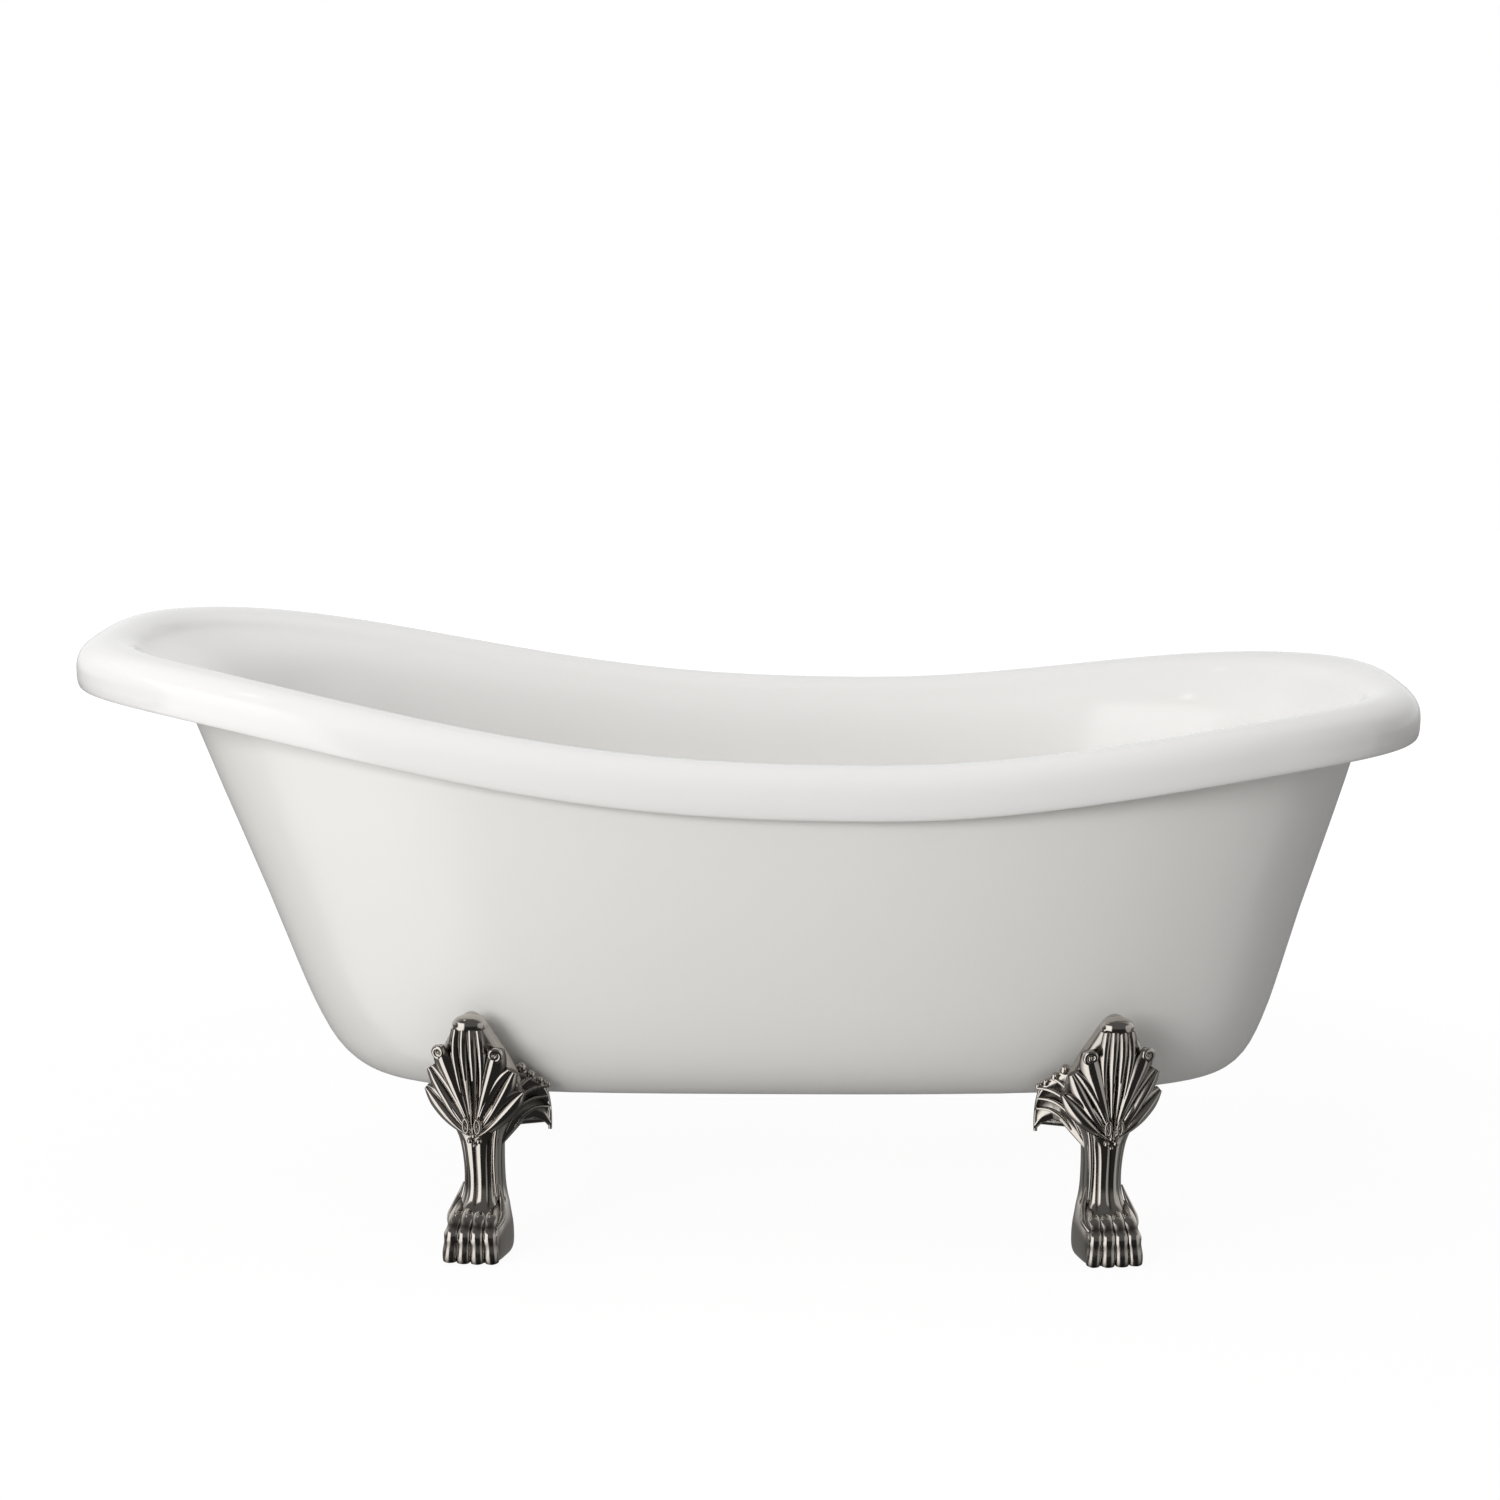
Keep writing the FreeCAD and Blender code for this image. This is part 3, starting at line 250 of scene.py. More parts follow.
PAPER_GLOW = 1.1                # strength at which the paper reads as the white backdrop
GLOW_SHARE = 0.86               # share of that glow at the tub; the rest is real shading
SHADING_REACH = (1.2, 3.0)      # metres from the origin over which the shading dies away


def studio_floor(colour):
    # Matt paper: the camera sees it almost as the white backdrop, and a share of its real
    # shading keeps the shadow under the tub, which fades into the backdrop three metres away.
    # Gloss looks through it to the backdrop, so that polished metal mirrors the studio.
    material = bpy.data.materials.new("studio_paper")
    material.use_nodes = True
    tree = material.node_tree
    tree.nodes.clear()
    paper = add(tree, "ShaderNodeBsdfDiffuse", values={"Color": (*colour, 1)})
    white = add(tree, "ShaderNodeEmission", values={"Color": WHITE, "Strength": PAPER_GLOW})
    clear = add(tree, "ShaderNodeBsdfTransparent")
    place = add(tree, "ShaderNodeTexCoord")
    far = add(tree, "ShaderNodeVectorMath", {"operation": "LENGTH"},
              links={"Vector": place.outputs["Object"]}).outputs["Value"]
    gloss = add(tree, "ShaderNodeLightPath").outputs["Is Glossy Ray"]
    back = add(tree, "ShaderNodeMixShader", links={
        "Fac": gloss, 1: white.outputs["Emission"], 2: clear.outputs["BSDF"]})
    share = maths(tree, "MAXIMUM", spread(tree, far, GLOW_SHARE, 1.0, *SHADING_REACH), gloss)
    seen = add(tree, "ShaderNodeMixShader", links={
        "Fac": share, 1: paper.outputs["BSDF"], 2: back.outputs["Shader"]})
    both = add(tree, "ShaderNodeMixShader", links={
        "Fac": backdrop_rays(tree), 1: paper.outputs["BSDF"], 2: seen.outputs["Shader"]})
    add(tree, "ShaderNodeOutputMaterial", links={"Surface": both.outputs["Shader"]})
    return material


def backdrop_rays(tree):
    """1 for rays that come from the camera or from gloss, and 0 for others."""
    path = add(tree, "ShaderNodeLightPath")
    return maths(tree, "MAXIMUM", path.outputs["Is Camera Ray"], path.outputs["Is Glossy Ray"])


# ------------------------------------------------------------------ surfaces
def cubic_weights(count, places):
    """Weights of count control values on a clamped cubic B-spline, at places from 0 to 1.

    Cox and de Boor's rule: a weight of degree d is the mix of its two neighbours of degree
    d - 1, each by how far the place has run into its span of knots."""
    knots = np.concatenate([[0, 0, 0], np.linspace(0, 1, count - 2), [1, 1, 1]])
    place = np.clip(places, 0, 1 - 1e-9)[:, None]
    weights = ((knots[:-1] <= place) & (place < knots[1:])).astype(float)
    for degree in (1, 2, 3):
        span = knots[degree:] - knots[:-degree]
        run = np.where(span > 0, (place - knots[:-degree]) / np.where(span > 0, span, 1), 0)
        left = run[:, :-1] * weights[:, :-1]
        right = np.where(span[1:] > 0, 1 - run[:, 1:], 0) * weights[:, 1:]
        weights = left + right
    return weights


def drawn(controls, count):
    """count values or points along the clamped cubic curve with these control values."""
    controls = np.asarray(controls, float)
    return cubic_weights(len(controls), np.linspace(0, 1, count)) @ controls


def ease(low, high, value):
    """0 below low, 1 above high, and between them 3 t squared less 2 t cubed."""
    t = np.clip((value - low) / (high - low), 0, 1)
    return t * t * (3 - 2 * t)


def turns(columns):
    """Evenly spaced angles once round."""
    return np.linspace(0, 2 * np.pi, columns, endpoint=False)


def skin(grid, relief_shade):
    """A closed form: quads between a grid's rows, round each row, and a face over each end."""
    rows, columns, _ = grid.shape
    row, column = np.meshgrid(np.arange(rows - 1) * columns, np.arange(columns), indexing="ij")
    after = (column + 1) % columns
    quads = np.stack([row + column, row + after, row + columns + after, row + columns + column],
                     axis=-1)
    ends = [list(range(columns)), list(range(rows * columns - 1, (rows - 1) * columns - 1, -1))]
    shine = np.broadcast_to(relief_shade, grid.shape[:2]).reshape(-1)
    return grid.reshape(-1, 3), quads.reshape(-1, 4).tolist() + ends, shine


def bar(path, radii, across, columns=14, flat=1.0, relief_shade=0.9):
    """A bar along a path: at each point a ring of that radius, in the plane across the path.

    One of the ring's axes is the path's direction crossed with the fixed direction across, and
    the other, scaled by flat, is square to both."""
    direction = np.gradient(path, axis=0)
    direction /= np.linalg.norm(direction, axis=1, keepdims=True)
    first = np.cross(direction, across)
    first /= np.linalg.norm(first, axis=1, keepdims=True)
    second = np.cross(first, direction) * flat
    angle = turns(columns)[None, :, None]
    ring = np.cos(angle) * first[:, None] + np.sin(angle) * second[:, None]
    return skin(path[:, None] + np.asarray(radii)[:, None, None] * ring, relief_shade)


def ball(centre, reach, relief_shade=0.95, rows=13, columns=18):
    """An ellipsoid: rings whose radius is the sine, and height the cosine, of a polar angle.

    The angle stops a little short of each pole, where a small flat face closes the form."""
    short = 0.08
    polar = np.linspace(short, np.pi - short, rows)[:, None]
    angle = turns(columns)[None, :]
    unit = np.stack([np.sin(polar) * np.cos(angle), np.sin(polar) * np.sin(angle),
                     np.cos(polar) + 0 * angle], axis=-1)
    return skin(np.asarray(centre) + unit * np.asarray(reach), relief_shade)


SHARP_ANGLE = 50        # degrees between two faces from which their edge stays sharp


def make_piece(name, forms, flip):
    """One smooth mesh in metres from closed forms in millimetres, its normals outwards."""
    starts = np.cumsum([0] + [len(points) for points, _, _ in forms])
    points = np.concatenate([form[0] for form in forms]) * MM
    faces = [[corner + int(start) for corner in face]
             for (_, faces, _), start in zip(forms, starts) for face in faces]
    mesh = bpy.data.meshes.new(name)
    mesh.from_pydata(points.tolist(), [], [face[::-1] for face in faces] if flip else faces)
    # Relief per point, from 0 in the grooves to 1 on the ridges: the casting's material paints
    # shade and sets roughness by it.
    relief_shade = mesh.attributes.new("relief_shade", "FLOAT", "POINT")
    relief_shade.data.foreach_set("value", np.concatenate([f[2] for f in forms]).astype(np.float32))
    work = bmesh.new()
    work.from_mesh(mesh)
    bmesh.ops.recalc_face_normals(work, faces=work.faces)
    work.to_mesh(mesh)
    work.free()
    mesh.polygons.foreach_set("use_smooth", np.ones(len(mesh.polygons), bool))
    mesh.set_sharp_from_angle(angle=math.radians(SHARP_ANGLE))
    piece = bpy.data.objects.new(name, mesh)
    bpy.context.scene.collection.objects.link(piece)
    return piece


# ------------------------------------------------------------------ claw feet, in millimetres
FOOT_TURN = 15.0        # paw and leg, turned from square towards the tub's end
LEAF_TURN = 12.0        # the leaf follows the wall
WING_TURN = 15.0        # the wing runs inwards by this from the tub's length
PAW_BOTTOM = 3.0        # height of the paw's underside
PAD_PLACE = 15.0        # outward place of the levelling pad
TOE_SPACING = 17.6

# Each leg's x and y, and the signs that mirror the one casting to its corner.
LEGS = {"front_left": (-324.0, -285.0, 1, 1), "rear_left": (-324.0, 285.0, 1, -1),
        "front_right": (440.0, -285.0, -1, 1), "rear_right": (440.0, 285.0, -1, -1)}

# Core of paw, leg and leaf: height, outward place, half width, half depth, squareness.
CORE = np.array([
    (3, 11, 32, 36, 4.0), (7, 11, 35, 40, 4.0), (23, 11, 36, 41, 3.6), (40, 10, 36, 39, 3.2),
    (53, 7, 33, 37, 2.9), (65, 0, 29, 35, 2.7), (79, -5, 24, 31, 2.6), (101, -6, 22.5, 30, 2.6),
    (123, -4, 23, 30, 2.6), (142, -1, 25, 30, 2.6), (160, 4, 29, 28, 2.5),
    (180, 8, 41, 26, 2.4), (202, 12, 54, 25, 2.4), (224, 17, 57, 24, 2.4), (247, 23, 50, 23, 2.3),
    (269, 29, 40, 21, 2.2), (289, 35, 28, 18, 2.1), (305, 38, 19, 15, 2.0),
    (314, 39, 12, 11, 2.0), (317, 39, 5, 5, 2.0)])
ANKLE_ROW = 8           # the row by whose outline the net's columns are spaced
REEDS = 12              # round the leg
REEDS_START = (64, 74)  # heights over which they deepen
REEDS_END = (146, 160)  # heights over which they end

# Pocket of the levelling stud and its pad, from its blind end down: radius and height.
POCKET = np.array([(5.1, 52), (5.1, 14), (18, 14), (18, PAW_BOTTOM)])

# By height: how far the form has turned from paw to leaf, and the leaf's outward place.
TURN_BY_HEIGHT = ((123, 142, 160, 180, 202), (0.0, 0.3, 0.6, 0.9, 1.0))
LEAF_FACE = ((142, 160, 180, 202, 224, 247, 269, 289, 305, 314, 317),
             (30, 34, 38, 41, 45, 50, 55, 57, 56, 52, 46))
LEAF_HALF_WIDTH = 62.0
LEAF_BOW = 12.0         # how far the leaf's face falls back at its widest


def placed(s, o, z):
    """Carries sideways, outward and height to x, y, z round the leg, with the form's twist."""
    s, o, z = np.broadcast_arrays(s, o, z)
    share = np.interp(z, *TURN_BY_HEIGHT)
    turn = np.radians(FOOT_TURN + (LEAF_TURN - FOOT_TURN) * share)
    return np.stack([s * np.cos(turn) - o * np.sin(turn),
                     -o * np.cos(turn) - s * np.sin(turn), z], axis=-1)


def leaf_face(s, z):
    """Outward place of the leaf's face: its middle line by height, less a bow in s squared."""
    return np.interp(z, *LEAF_FACE) - LEAF_BOW * (s / LEAF_HALF_WIDTH) ** 2


def even_angles(columns, half_width, half_depth, power):
    """Angles that divide a superellipse into equal lengths, found on a fine running sum."""
    fine = np.linspace(0, 2 * np.pi, 2881)
    c, s = np.cos(fine), np.sin(fine)
    radius = (np.abs(c) ** power + np.abs(s) ** power) ** (-1 / power)
    line = np.stack([half_width * c * radius, half_depth * s * radius], axis=1)
    run = np.concatenate([[0], np.cumsum(np.linalg.norm(np.diff(line, axis=0), axis=1))])
    return np.interp(np.arange(columns) / columns * run[-1], run, fine)


def core(settings):
    """Paw, leg and leaf as one net, with a reeded leg and the pad's pocket from below.

    Each row is a superellipse, |s / width| to the power n plus |o / depth| to the power n being
    1, and the rows are blended up the foot by a clamped cubic. On the leg the radius falls by
    the reeds' depth times one less the absolute sine, to the 0.75, of half the reed count times
    the angle by length."""
    columns, rows = 144, 150
    angle = even_angles(columns, *CORE[ANKLE_ROW, 2:5])[None, :]
    height, outward, width, depth, power = (CORE[:, k:k + 1] for k in range(5))
    c, s = np.cos(angle), np.sin(angle)
    radius = (np.abs(c) ** power + np.abs(s) ** power) ** (-1 / power)
    weights = cubic_weights(len(CORE), np.linspace(0, 1, rows))
    side = weights @ (width * c * radius)
    out = weights @ (-depth * s * radius)
    middle = weights @ outward
    z = weights @ (height + 0 * angle)
    place = np.arange(columns)[None, :] / columns
    lobes = np.abs(np.sin(np.pi * REEDS * place)) ** 0.75
    leg = ease(*REEDS_START, z) * (1 - ease(*REEDS_END, z))
    shrink = 1 - leg * settings.reed_depth / MM * (1 - lobes) / np.hypot(side, out)
    body = placed(side * shrink, middle + out * shrink, z)
    bore, level = POCKET.T[:, :, None]
    under = placed(bore * np.cos(angle), PAD_PLACE - bore * np.sin(angle), level)
    # Painted shade: half-way on paw and leaf, darkest in the reeds' grooves, and dark in the
    # pad's pocket under the paw.
    shine = 0.5 * (1 - leg) + leg * lobes
    return skin(np.concatenate([under, body]),
                np.concatenate([np.full(under.shape[:2], 0.2), shine]))


def petal(line, widths, rise, flutes, curl):
    """A leaf blade along a line in (s, z), with half widths along it.

    Round its section runs an angle: minus its cosine is the place across, and its sine h the
    height. The front stands rise times h to the 0.6 proud of the leaf's face, of which more
    than half follows the absolute sine of the flutes, and rises least at the blade's two ends.
    The back lies h times its own depth behind, and the blade's last part curls outwards."""
    rows, columns, back = 44, 60, 9.0
    run = np.linspace(0, 1, rows)[:, None]
    centre = drawn(line, rows)
    direction = np.gradient(centre, axis=0)
    direction /= np.linalg.norm(direction, axis=1, keepdims=True)
    half = drawn(widths, rows)[:, None]
    phi = turns(columns)[None, :]
    v, h = -np.cos(phi), np.sin(phi)
    s = centre[:, :1] + half * v * direction[:, 1:]
    z = centre[:, 1:] - half * v * direction[:, :1]
    lobes = np.abs(np.sin(flutes * np.pi * (v + 1) / 2))
    proud = np.clip(h, 0, 1)
    height = rise * (0.35 + 0.65 * np.sin(np.pi * np.clip(run, 0.02, 0.98)) ** 0.6)
    front = height * proud ** 0.6 * (0.35 + 0.65 * lobes)
    rolled = curl * ease(0.55, 1.0, run)
    o = leaf_face(s, z) - 2 + np.where(h > 0, front, back * h) + rolled
    # Painted shade: lightest on the flutes' crowns, darker towards the blade's edges and on its
    # back, which faces the skirt.
    shine = np.where(h > 0, 0.1 + 0.9 * lobes * proud ** 0.4, 0.15)
    return skin(placed(s, o, z), shine + 0 * run)


def scroll(side):
    """A curled tip: a bar along a spiral whose radius falls evenly with its angle, and an eye."""
    centre, start, size, proud = (35, 271), 8.0, 4.2, 7.5
    steps = np.linspace(0, 1, 56)
    angle = -np.pi * 0.45 + 2 * np.pi * 1.3 * steps
    radius = start * (1 - 0.72 * steps)
    s = side * (centre[0] + radius * np.cos(angle))
    z = centre[1] + radius * np.sin(angle)
    path = placed(s, leaf_face(s, z) + proud + 3.0 * steps, z)
    eye = placed(side * centre[0], leaf_face(centre[0], centre[1]) + proud + 2.0, centre[1])
    thick = size * (0.75 + 0.25 * np.sin(np.pi * steps)) * (1 - 0.45 * steps)
    return [bar(path, thick, (0, 1, 0), relief_shade=0.95), ball(eye, (size * 0.55,) * 3, 0.8)]


# Petals: middle line as sideways place and height, half widths, rise, flutes and curl.
BLADE = (((0, 158), (0, 185), (0, 215), (0, 245), (0, 275), (0, 300)),
         (4, 8, 15, 20, 24, 25, 20), 8.5, 4, 3.5)
SIDE_PETALS = (
    (((4, 160), (15, 172), (31, 190), (47, 207), (61, 219)),
     (2.5, 9, 15, 17, 14, 5), 7.5, 2, 1.5),
    (((3, 163), (12, 180), (25, 204), (39, 228), (52, 247)),
     (2, 8, 15, 17, 15, 7), 8.5, 2, 2.5),
    (((2, 167), (9, 190), (18, 215), (28, 242), (36, 264), (38, 276)),
     (2, 7, 12, 14, 13, 7), 9.5, 1, 3.0))


def leaf():
    """Central fluted blade, three petals each side, scrolls, the rolled tip and beads."""
    forms = [petal(*BLADE)]
    for side in (-1, 1):
        for line, *shape in SIDE_PETALS:
            forms.append(petal([(side * s, z) for s, z in line], *shape))
        forms += scroll(side)
        loop = turns(40)
        s, z = side * 7.5 + 3.4 * np.cos(loop), 175 + 9.0 * np.sin(loop)
        ring = placed(s, leaf_face(s, z) + 7.0, z)
        forms.append(bar(np.concatenate([ring, ring[:1]]), np.full(41, 1.7), (0, 1, 0)))
    tip = placed(0.0, 47.0, 304.0)
    forms.append(ball(tip, (21.0, 15.0, 13.0), 0.9, 22, 34))
    for s, z, size in ((-6.0, 153, 3.8), (6.0, 153, 3.8), (0, 160, 3.8), (0, 147, 2.6)):
        forms.append(ball(placed(s, leaf_face(s, z) - 0.2 * size, z), (size,) * 3, 1.0))
    return forms


def toes(settings):
    """Four toes: bars a little wider than deep, whose radius swells at two knuckles.

    They fan out from 0.74 of their spacing at the root. The row falls back by 0.14 of the way
    across towards the tub's middle, and the outer two stand 2 mm further back."""
    line = np.array([(13, 70), (26, 60), (38, 53.5), (44, 45), (49, 38), (48.5, 29), (49.5, 20),
                     (50.5, 11), (49.5, 4)], float)
    swell = np.array([6.5, 9.0, 10.2, 6.8, 10.2, 7.8, 9.0, 8.8, 7.6], float)
    across = placed(1.0, 0.0, 0.0)
    forms = []
    columns = 26
    fan = np.linspace(0.74, 1.0, len(line))
    radii = drawn(swell, 60) * settings.toe_size
    # Painted shade: darker where the toes narrow between the knuckles, lighter on the knuckles.
    knuckles = np.clip((np.repeat(radii, columns) - 7.6) / 2.2, 0.15, 1)
    for rank in (-1.5, -0.5, 0.5, 1.5):
        back = 0.14 * TOE_SPACING * rank + 2.0 * (abs(rank) > 1)
        control = placed(TOE_SPACING * rank * fan, line[:, 0] - back * fan, line[:, 1])
        points, faces, _ = bar(drawn(control, 60), radii, across, columns, flat=1.12)
        points[:, 2] = np.maximum(points[:, 2], PAW_BOTTOM + 0.2)
        forms.append((points, faces, knuckles))
    return forms


def tendons():
    """Ridges from the outer knuckles back to the ankle, and one sweeping down from the wing."""
    forms = []
    for side in (-1, 1):
        line = placed(side * np.array([30, 34.5, 33, 28, 23]), np.array([40, 31, 20, 12, 8]),
                      np.array([46, 52, 61, 74, 92]))
        forms.append(bar(drawn(line, 30), drawn((2, 4.6, 4.2, 3.4, 1.0), 30), (0, 0, 1)))
    sweep = np.array([(46, 25, 204), (33, 29, 190), (26, 28, 168), (23, 22, 145),
                      (21.5, 18, 120), (21.5, 17, 98), (24, 18, 80)], float)
    path = placed(*drawn(sweep, 60).T)
    forms.append(bar(path, 3.0 * np.sin(np.pi * np.linspace(0.1, 0.93, 60)) ** 0.4, (0, 1, 0)))
    return forms


def wing_place(d, n, z):
    """Carries a distance along the wing and an offset outward from it to x, y, z."""
    d, n, z = np.broadcast_arrays(d, n, z)
    turn = math.radians(WING_TURN)
    return np.stack([d * math.cos(turn) + n * math.sin(turn),
                     d * math.sin(turn) - n * math.cos(turn), z], axis=-1)


def cheek(middle, bottom, top, thick):
    """A plate along the wing: at each distance a flat oval from its lower to its upper edge.

    Its outer face carries one and a half sine waves, 1.6 mm high, from edge to edge."""
    rows, columns = 50, 40
    d = np.linspace(2, 83, rows)[:, None]
    low, high = (np.interp(d, *edge) for edge in (bottom, top))
    angle = turns(columns)[None, :]
    c, s = np.cos(angle), np.sin(angle)
    flat = np.sign(s) * np.abs(s) ** 0.35
    z = (low + high) / 2 + (high - low) / 2 * flat
    wave = 1.6 * np.sin((z - low) / np.maximum(high - low, 1) * 3 * np.pi) * ease(10, 30, d)
    n = middle + np.sign(c) * np.abs(c) ** 0.6 * thick / 2 + wave * (c > 0)
    # Painted shade: on the outer face lighter on the waves' crests and darker in their troughs.
    return skin(wing_place(d, n, z), np.clip(0.35 + 0.3 * wave, 0.05, 1))


def wing():
    """Two arched cheeks with a web over them, flowing ridges and a scalloped upper edge."""
    front_low = ((0, 20, 39, 50, 62, 74, 83), (128, 138, 158, 170, 173, 167, 157))
    front_high = ((0, 20, 40, 50, 60, 72, 78, 83), (185, 215, 240, 236, 228, 221, 210, 190))
    back_low = ((0, 30, 83), (140, 158, 159))
    back_high = ((0, 30, 83), (180, 186, 186))
    forms = [cheek(11.0, front_low, front_high, 5.0), cheek(-10.5, back_low, back_high, 4.0)]
    d = np.linspace(4, 82, 30)
    web = wing_place(d, 0.0, 184.0 + 0 * d)
    # Painted shade: the web between the cheeks is dark.
    forms.append(bar(web, np.full(30, 12.0), (0, 0, 1), 24, flat=0.22, relief_shade=0.2))
    ridges = (
        (((80, 212), (68, 213), (52, 208), (38, 197), (26, 180), (18, 160), (15, 140)), 3.4),
        (((79, 199), (64, 200), (50, 194), (38, 184), (30, 170), (26, 158)), 3.0),
        (((80, 186), (68, 188), (54, 184), (44, 174), (37, 162)), 2.6),
        (((62, 226), (52, 224), (40, 213), (30, 198), (22, 180)), 3.0),
    )
    for line, size in ridges:
        at = drawn(line, 46)
        taper = np.sin(np.pi * np.linspace(0.10, 0.93, 46)) ** 0.6
        n = 13.5 + 3.0 * taper
        forms.append(bar(wing_place(at[:, 0], n, at[:, 1]), size * taper, (0.26, -0.97, 0), 16))
    for d, z, size in ((46, 240, 7.0), (58, 230, 6.0), (69, 222, 5.0), (79, 216, 4.2)):
        forms.append(ball(wing_place(d, 13.0, z - 2), (size, size * 0.8, size), 0.8))
        forms.append(ball(wing_place(d - 2, 18.5, z + 1), (size * 0.4,) * 3, 1.0))
    edge = drawn([(82, 157), (82.5, 170), (82, 188), (79, 204), (74, 221)], 30)
    forms.append(bar(wing_place(edge[:, 0], 12.0, edge[:, 1]), np.full(30, 2.4), (0, 1, 0), 12))
    return forms


def bracket(top):
    """Channel under the tub: a flat plate between two cheeks, carried straight inwards.

    Its lower edge is level until it meets an arc of radius 120, and rises along that."""
    start, end, steps, radius, rise = 16, 165, 40, 120.0, 18
    run = np.linspace(start, end, steps)
    low = top - 40
    arch = low + rise - radius + np.sqrt(np.maximum(radius ** 2 - (end - run) ** 2, 0))
    edge = np.maximum(low, arch)
    plate = np.full(steps, top - 6.0)
    outer, inner = 31.0, 24.0
    corners = ((-outer, edge), (-outer, plate + 6), (outer, plate + 6), (outer, edge),
               (inner, edge), (inner, plate), (-inner, plate), (-inner, edge))
    grid = np.stack([np.stack([np.full(steps, x), run, z], axis=1) for x, z in corners], axis=1)
    # Painted shade: the channel under the tub is darker than the plate's own colour.
    return skin(grid, 0.3)


TUB_INSIDE = (60, 0, 420)   # inside the tub: the skirt's outer faces look away from here
NEAR_LEG = 150              # the casting meets the skirt only this far along from the leg,
NEAR_TOP = 380              # below this height
BELOW_TUB = 150             # and above this one
BLOCK = 3000                # points compared with the skirt at a time, to spare memory


def tub_faces(corner):
    """Middles and normals of the skirt's outer triangles near a leg, in that leg's own frame."""
    leg_x, leg_y, sign_x, sign_y = LEGS[corner]
    mesh = frame["nodes"]["outer_skirt"].data
    points = np.empty(len(mesh.vertices) * 3, np.float32)
    mesh.vertices.foreach_get("co", points)
    corners = np.empty(len(mesh.loops), np.int32)
    mesh.loops.foreach_get("vertex_index", corners)
    triangles = points.reshape(-1, 3)[corners.reshape(-1, 3)] / MM
    middle = triangles.mean(axis=1)
    normal = np.cross(triangles[:, 1] - triangles[:, 0], triangles[:, 2] - triangles[:, 0])
    size = np.linalg.norm(normal, axis=1)
    outer = np.sum(normal * (middle - TUB_INSIDE), axis=1) > 0
    near = (np.abs(middle[:, 0] - leg_x) < NEAR_LEG) & (middle[:, 1] * leg_y > 0)
    keep = outer & near & (middle[:, 2] < NEAR_TOP) & (size > 1e-6)
    signs = np.array([sign_x, sign_y, 1])
    local = (middle[keep] - (leg_x, leg_y, 0)) * signs
    return local, normal[keep] / size[keep, None] * signs


def clear_of_tub(points, gap):
    """Moves points to at least a gap outside the skirt, along the nearest triangle's normal.

    The skirt at both ends counts, because one casting serves all four corners."""
    points = points.copy()
    high = np.flatnonzero(points[:, 2] > BELOW_TUB)
    for corner in ("front_left", "front_right"):
        middle, normal = tub_faces(corner)
        for part in np.array_split(high, max(len(high) // BLOCK, 1)):
            at = points[part]
            near = np.argmin(np.sum(middle ** 2, axis=1)[None] - 2 * at @ middle.T, axis=1)
            off = np.sum((at - middle[near]) * normal[near], axis=1)
            points[part] = at + normal[near] * np.maximum(gap - off, 0)[:, None]
    return points


# ------------------------------------------------------------------ settings
def colour_property(name, description, hex_colour):
    """A colour setting whose default is an sRGB hex value."""
    return FloatVectorProperty(name=name, description=description, default=linear(hex_colour),
                               subtype="COLOR", size=3, min=0.0, max=1.0)


class BathtubShellSettings(bpy.types.PropertyGroup):
    basin: colour_property("Basin", "Colour of the acrylic basin and rim", "#F3F2F0")
    skirt: colour_property("Skirt", "Colour of the outer skirt", "#F0EFEC")


class BathtubFeetSettings(bpy.types.PropertyGroup):
    metal: colour_property("Metal", "Colour of the plated ridges", "#BDB7B0")
    # Painted shade: the colour the casting darkens to in its grooves, standing in for their
    # shade.
    painted_groove_shade: colour_property("Hollows", "Colour of the plate in the grooves", "#57514B")
    reed_depth: FloatProperty(name="Reed depth", description="Depth of the leg's grooves",
                              default=1.5 * MM, min=0.0, max=4 * MM, unit="LENGTH")
    toe_size: FloatProperty(name="Toe size", description="Share of the toes' full radius",
                            default=1.0, min=0.7, max=1.1, subtype="FACTOR")
    gap: FloatProperty(name="Gap", description="Space between a casting and the skirt",
                       default=0.6 * MM, min=0.4 * MM, max=2 * MM, unit="LENGTH")


class BathtubFittingSettings(bpy.types.PropertyGroup):
    chrome: colour_property("Chrome", "Colour of the bright plated fittings", "#D2D3D5")
    brass: colour_property("Brass", "Colour of the bare turned brass", "#CDB06C")
    zinc: colour_property("Zinc", "Colour of the plated fixings", "#C4C6CA")
    nylon: colour_property("Nylon", "Colour of the black moulded pieces", "#3A3A3C")
    acetal: colour_property("Acetal", "Colour of the off-white moulded pieces", "#EFEEEA")
    rubber: colour_property("Rubber", "Colour of the seals and gaskets", "#2C2C2D")
    timber: colour_property("Board", "Colour of the pressed board", "#C9AF86")


class BathtubStageSettings(bpy.types.PropertyGroup):
    floor: colour_property("Floor", "Colour of the floor's paper", "#BEBDBC")
    key_power: FloatProperty(name="Key lamp", description="Power of the large soft lamp, left",
                             default=130.0, min=0.0, unit="POWER")
    fill_power: FloatProperty(name="Fill lamp", description="Power of the soft lamp overhead",
                              default=26.0, min=0.0, unit="POWER")
    strip_power: FloatProperty(name="Strip", description="Power of the narrow lamp, top left",
                               default=0.5, min=0.0, unit="POWER")
    room: FloatProperty(name="Room", description="Brightness of the room in front, in gloss",
                        default=0.14, min=0.0, subtype="FACTOR")
    window: FloatProperty(name="Window", description="Brightness of the window, in gloss",
                          default=1.6, min=0.0, subtype="FACTOR")
    ambient: FloatProperty(name="Ambient", description="Strength of the even light all round",
                           default=0.40, min=0.0, subtype="FACTOR")
    focal: FloatProperty(name="Focal length", description="Lens of the photograph's camera",
                         default=75.03, min=1.0, unit="CAMERA")


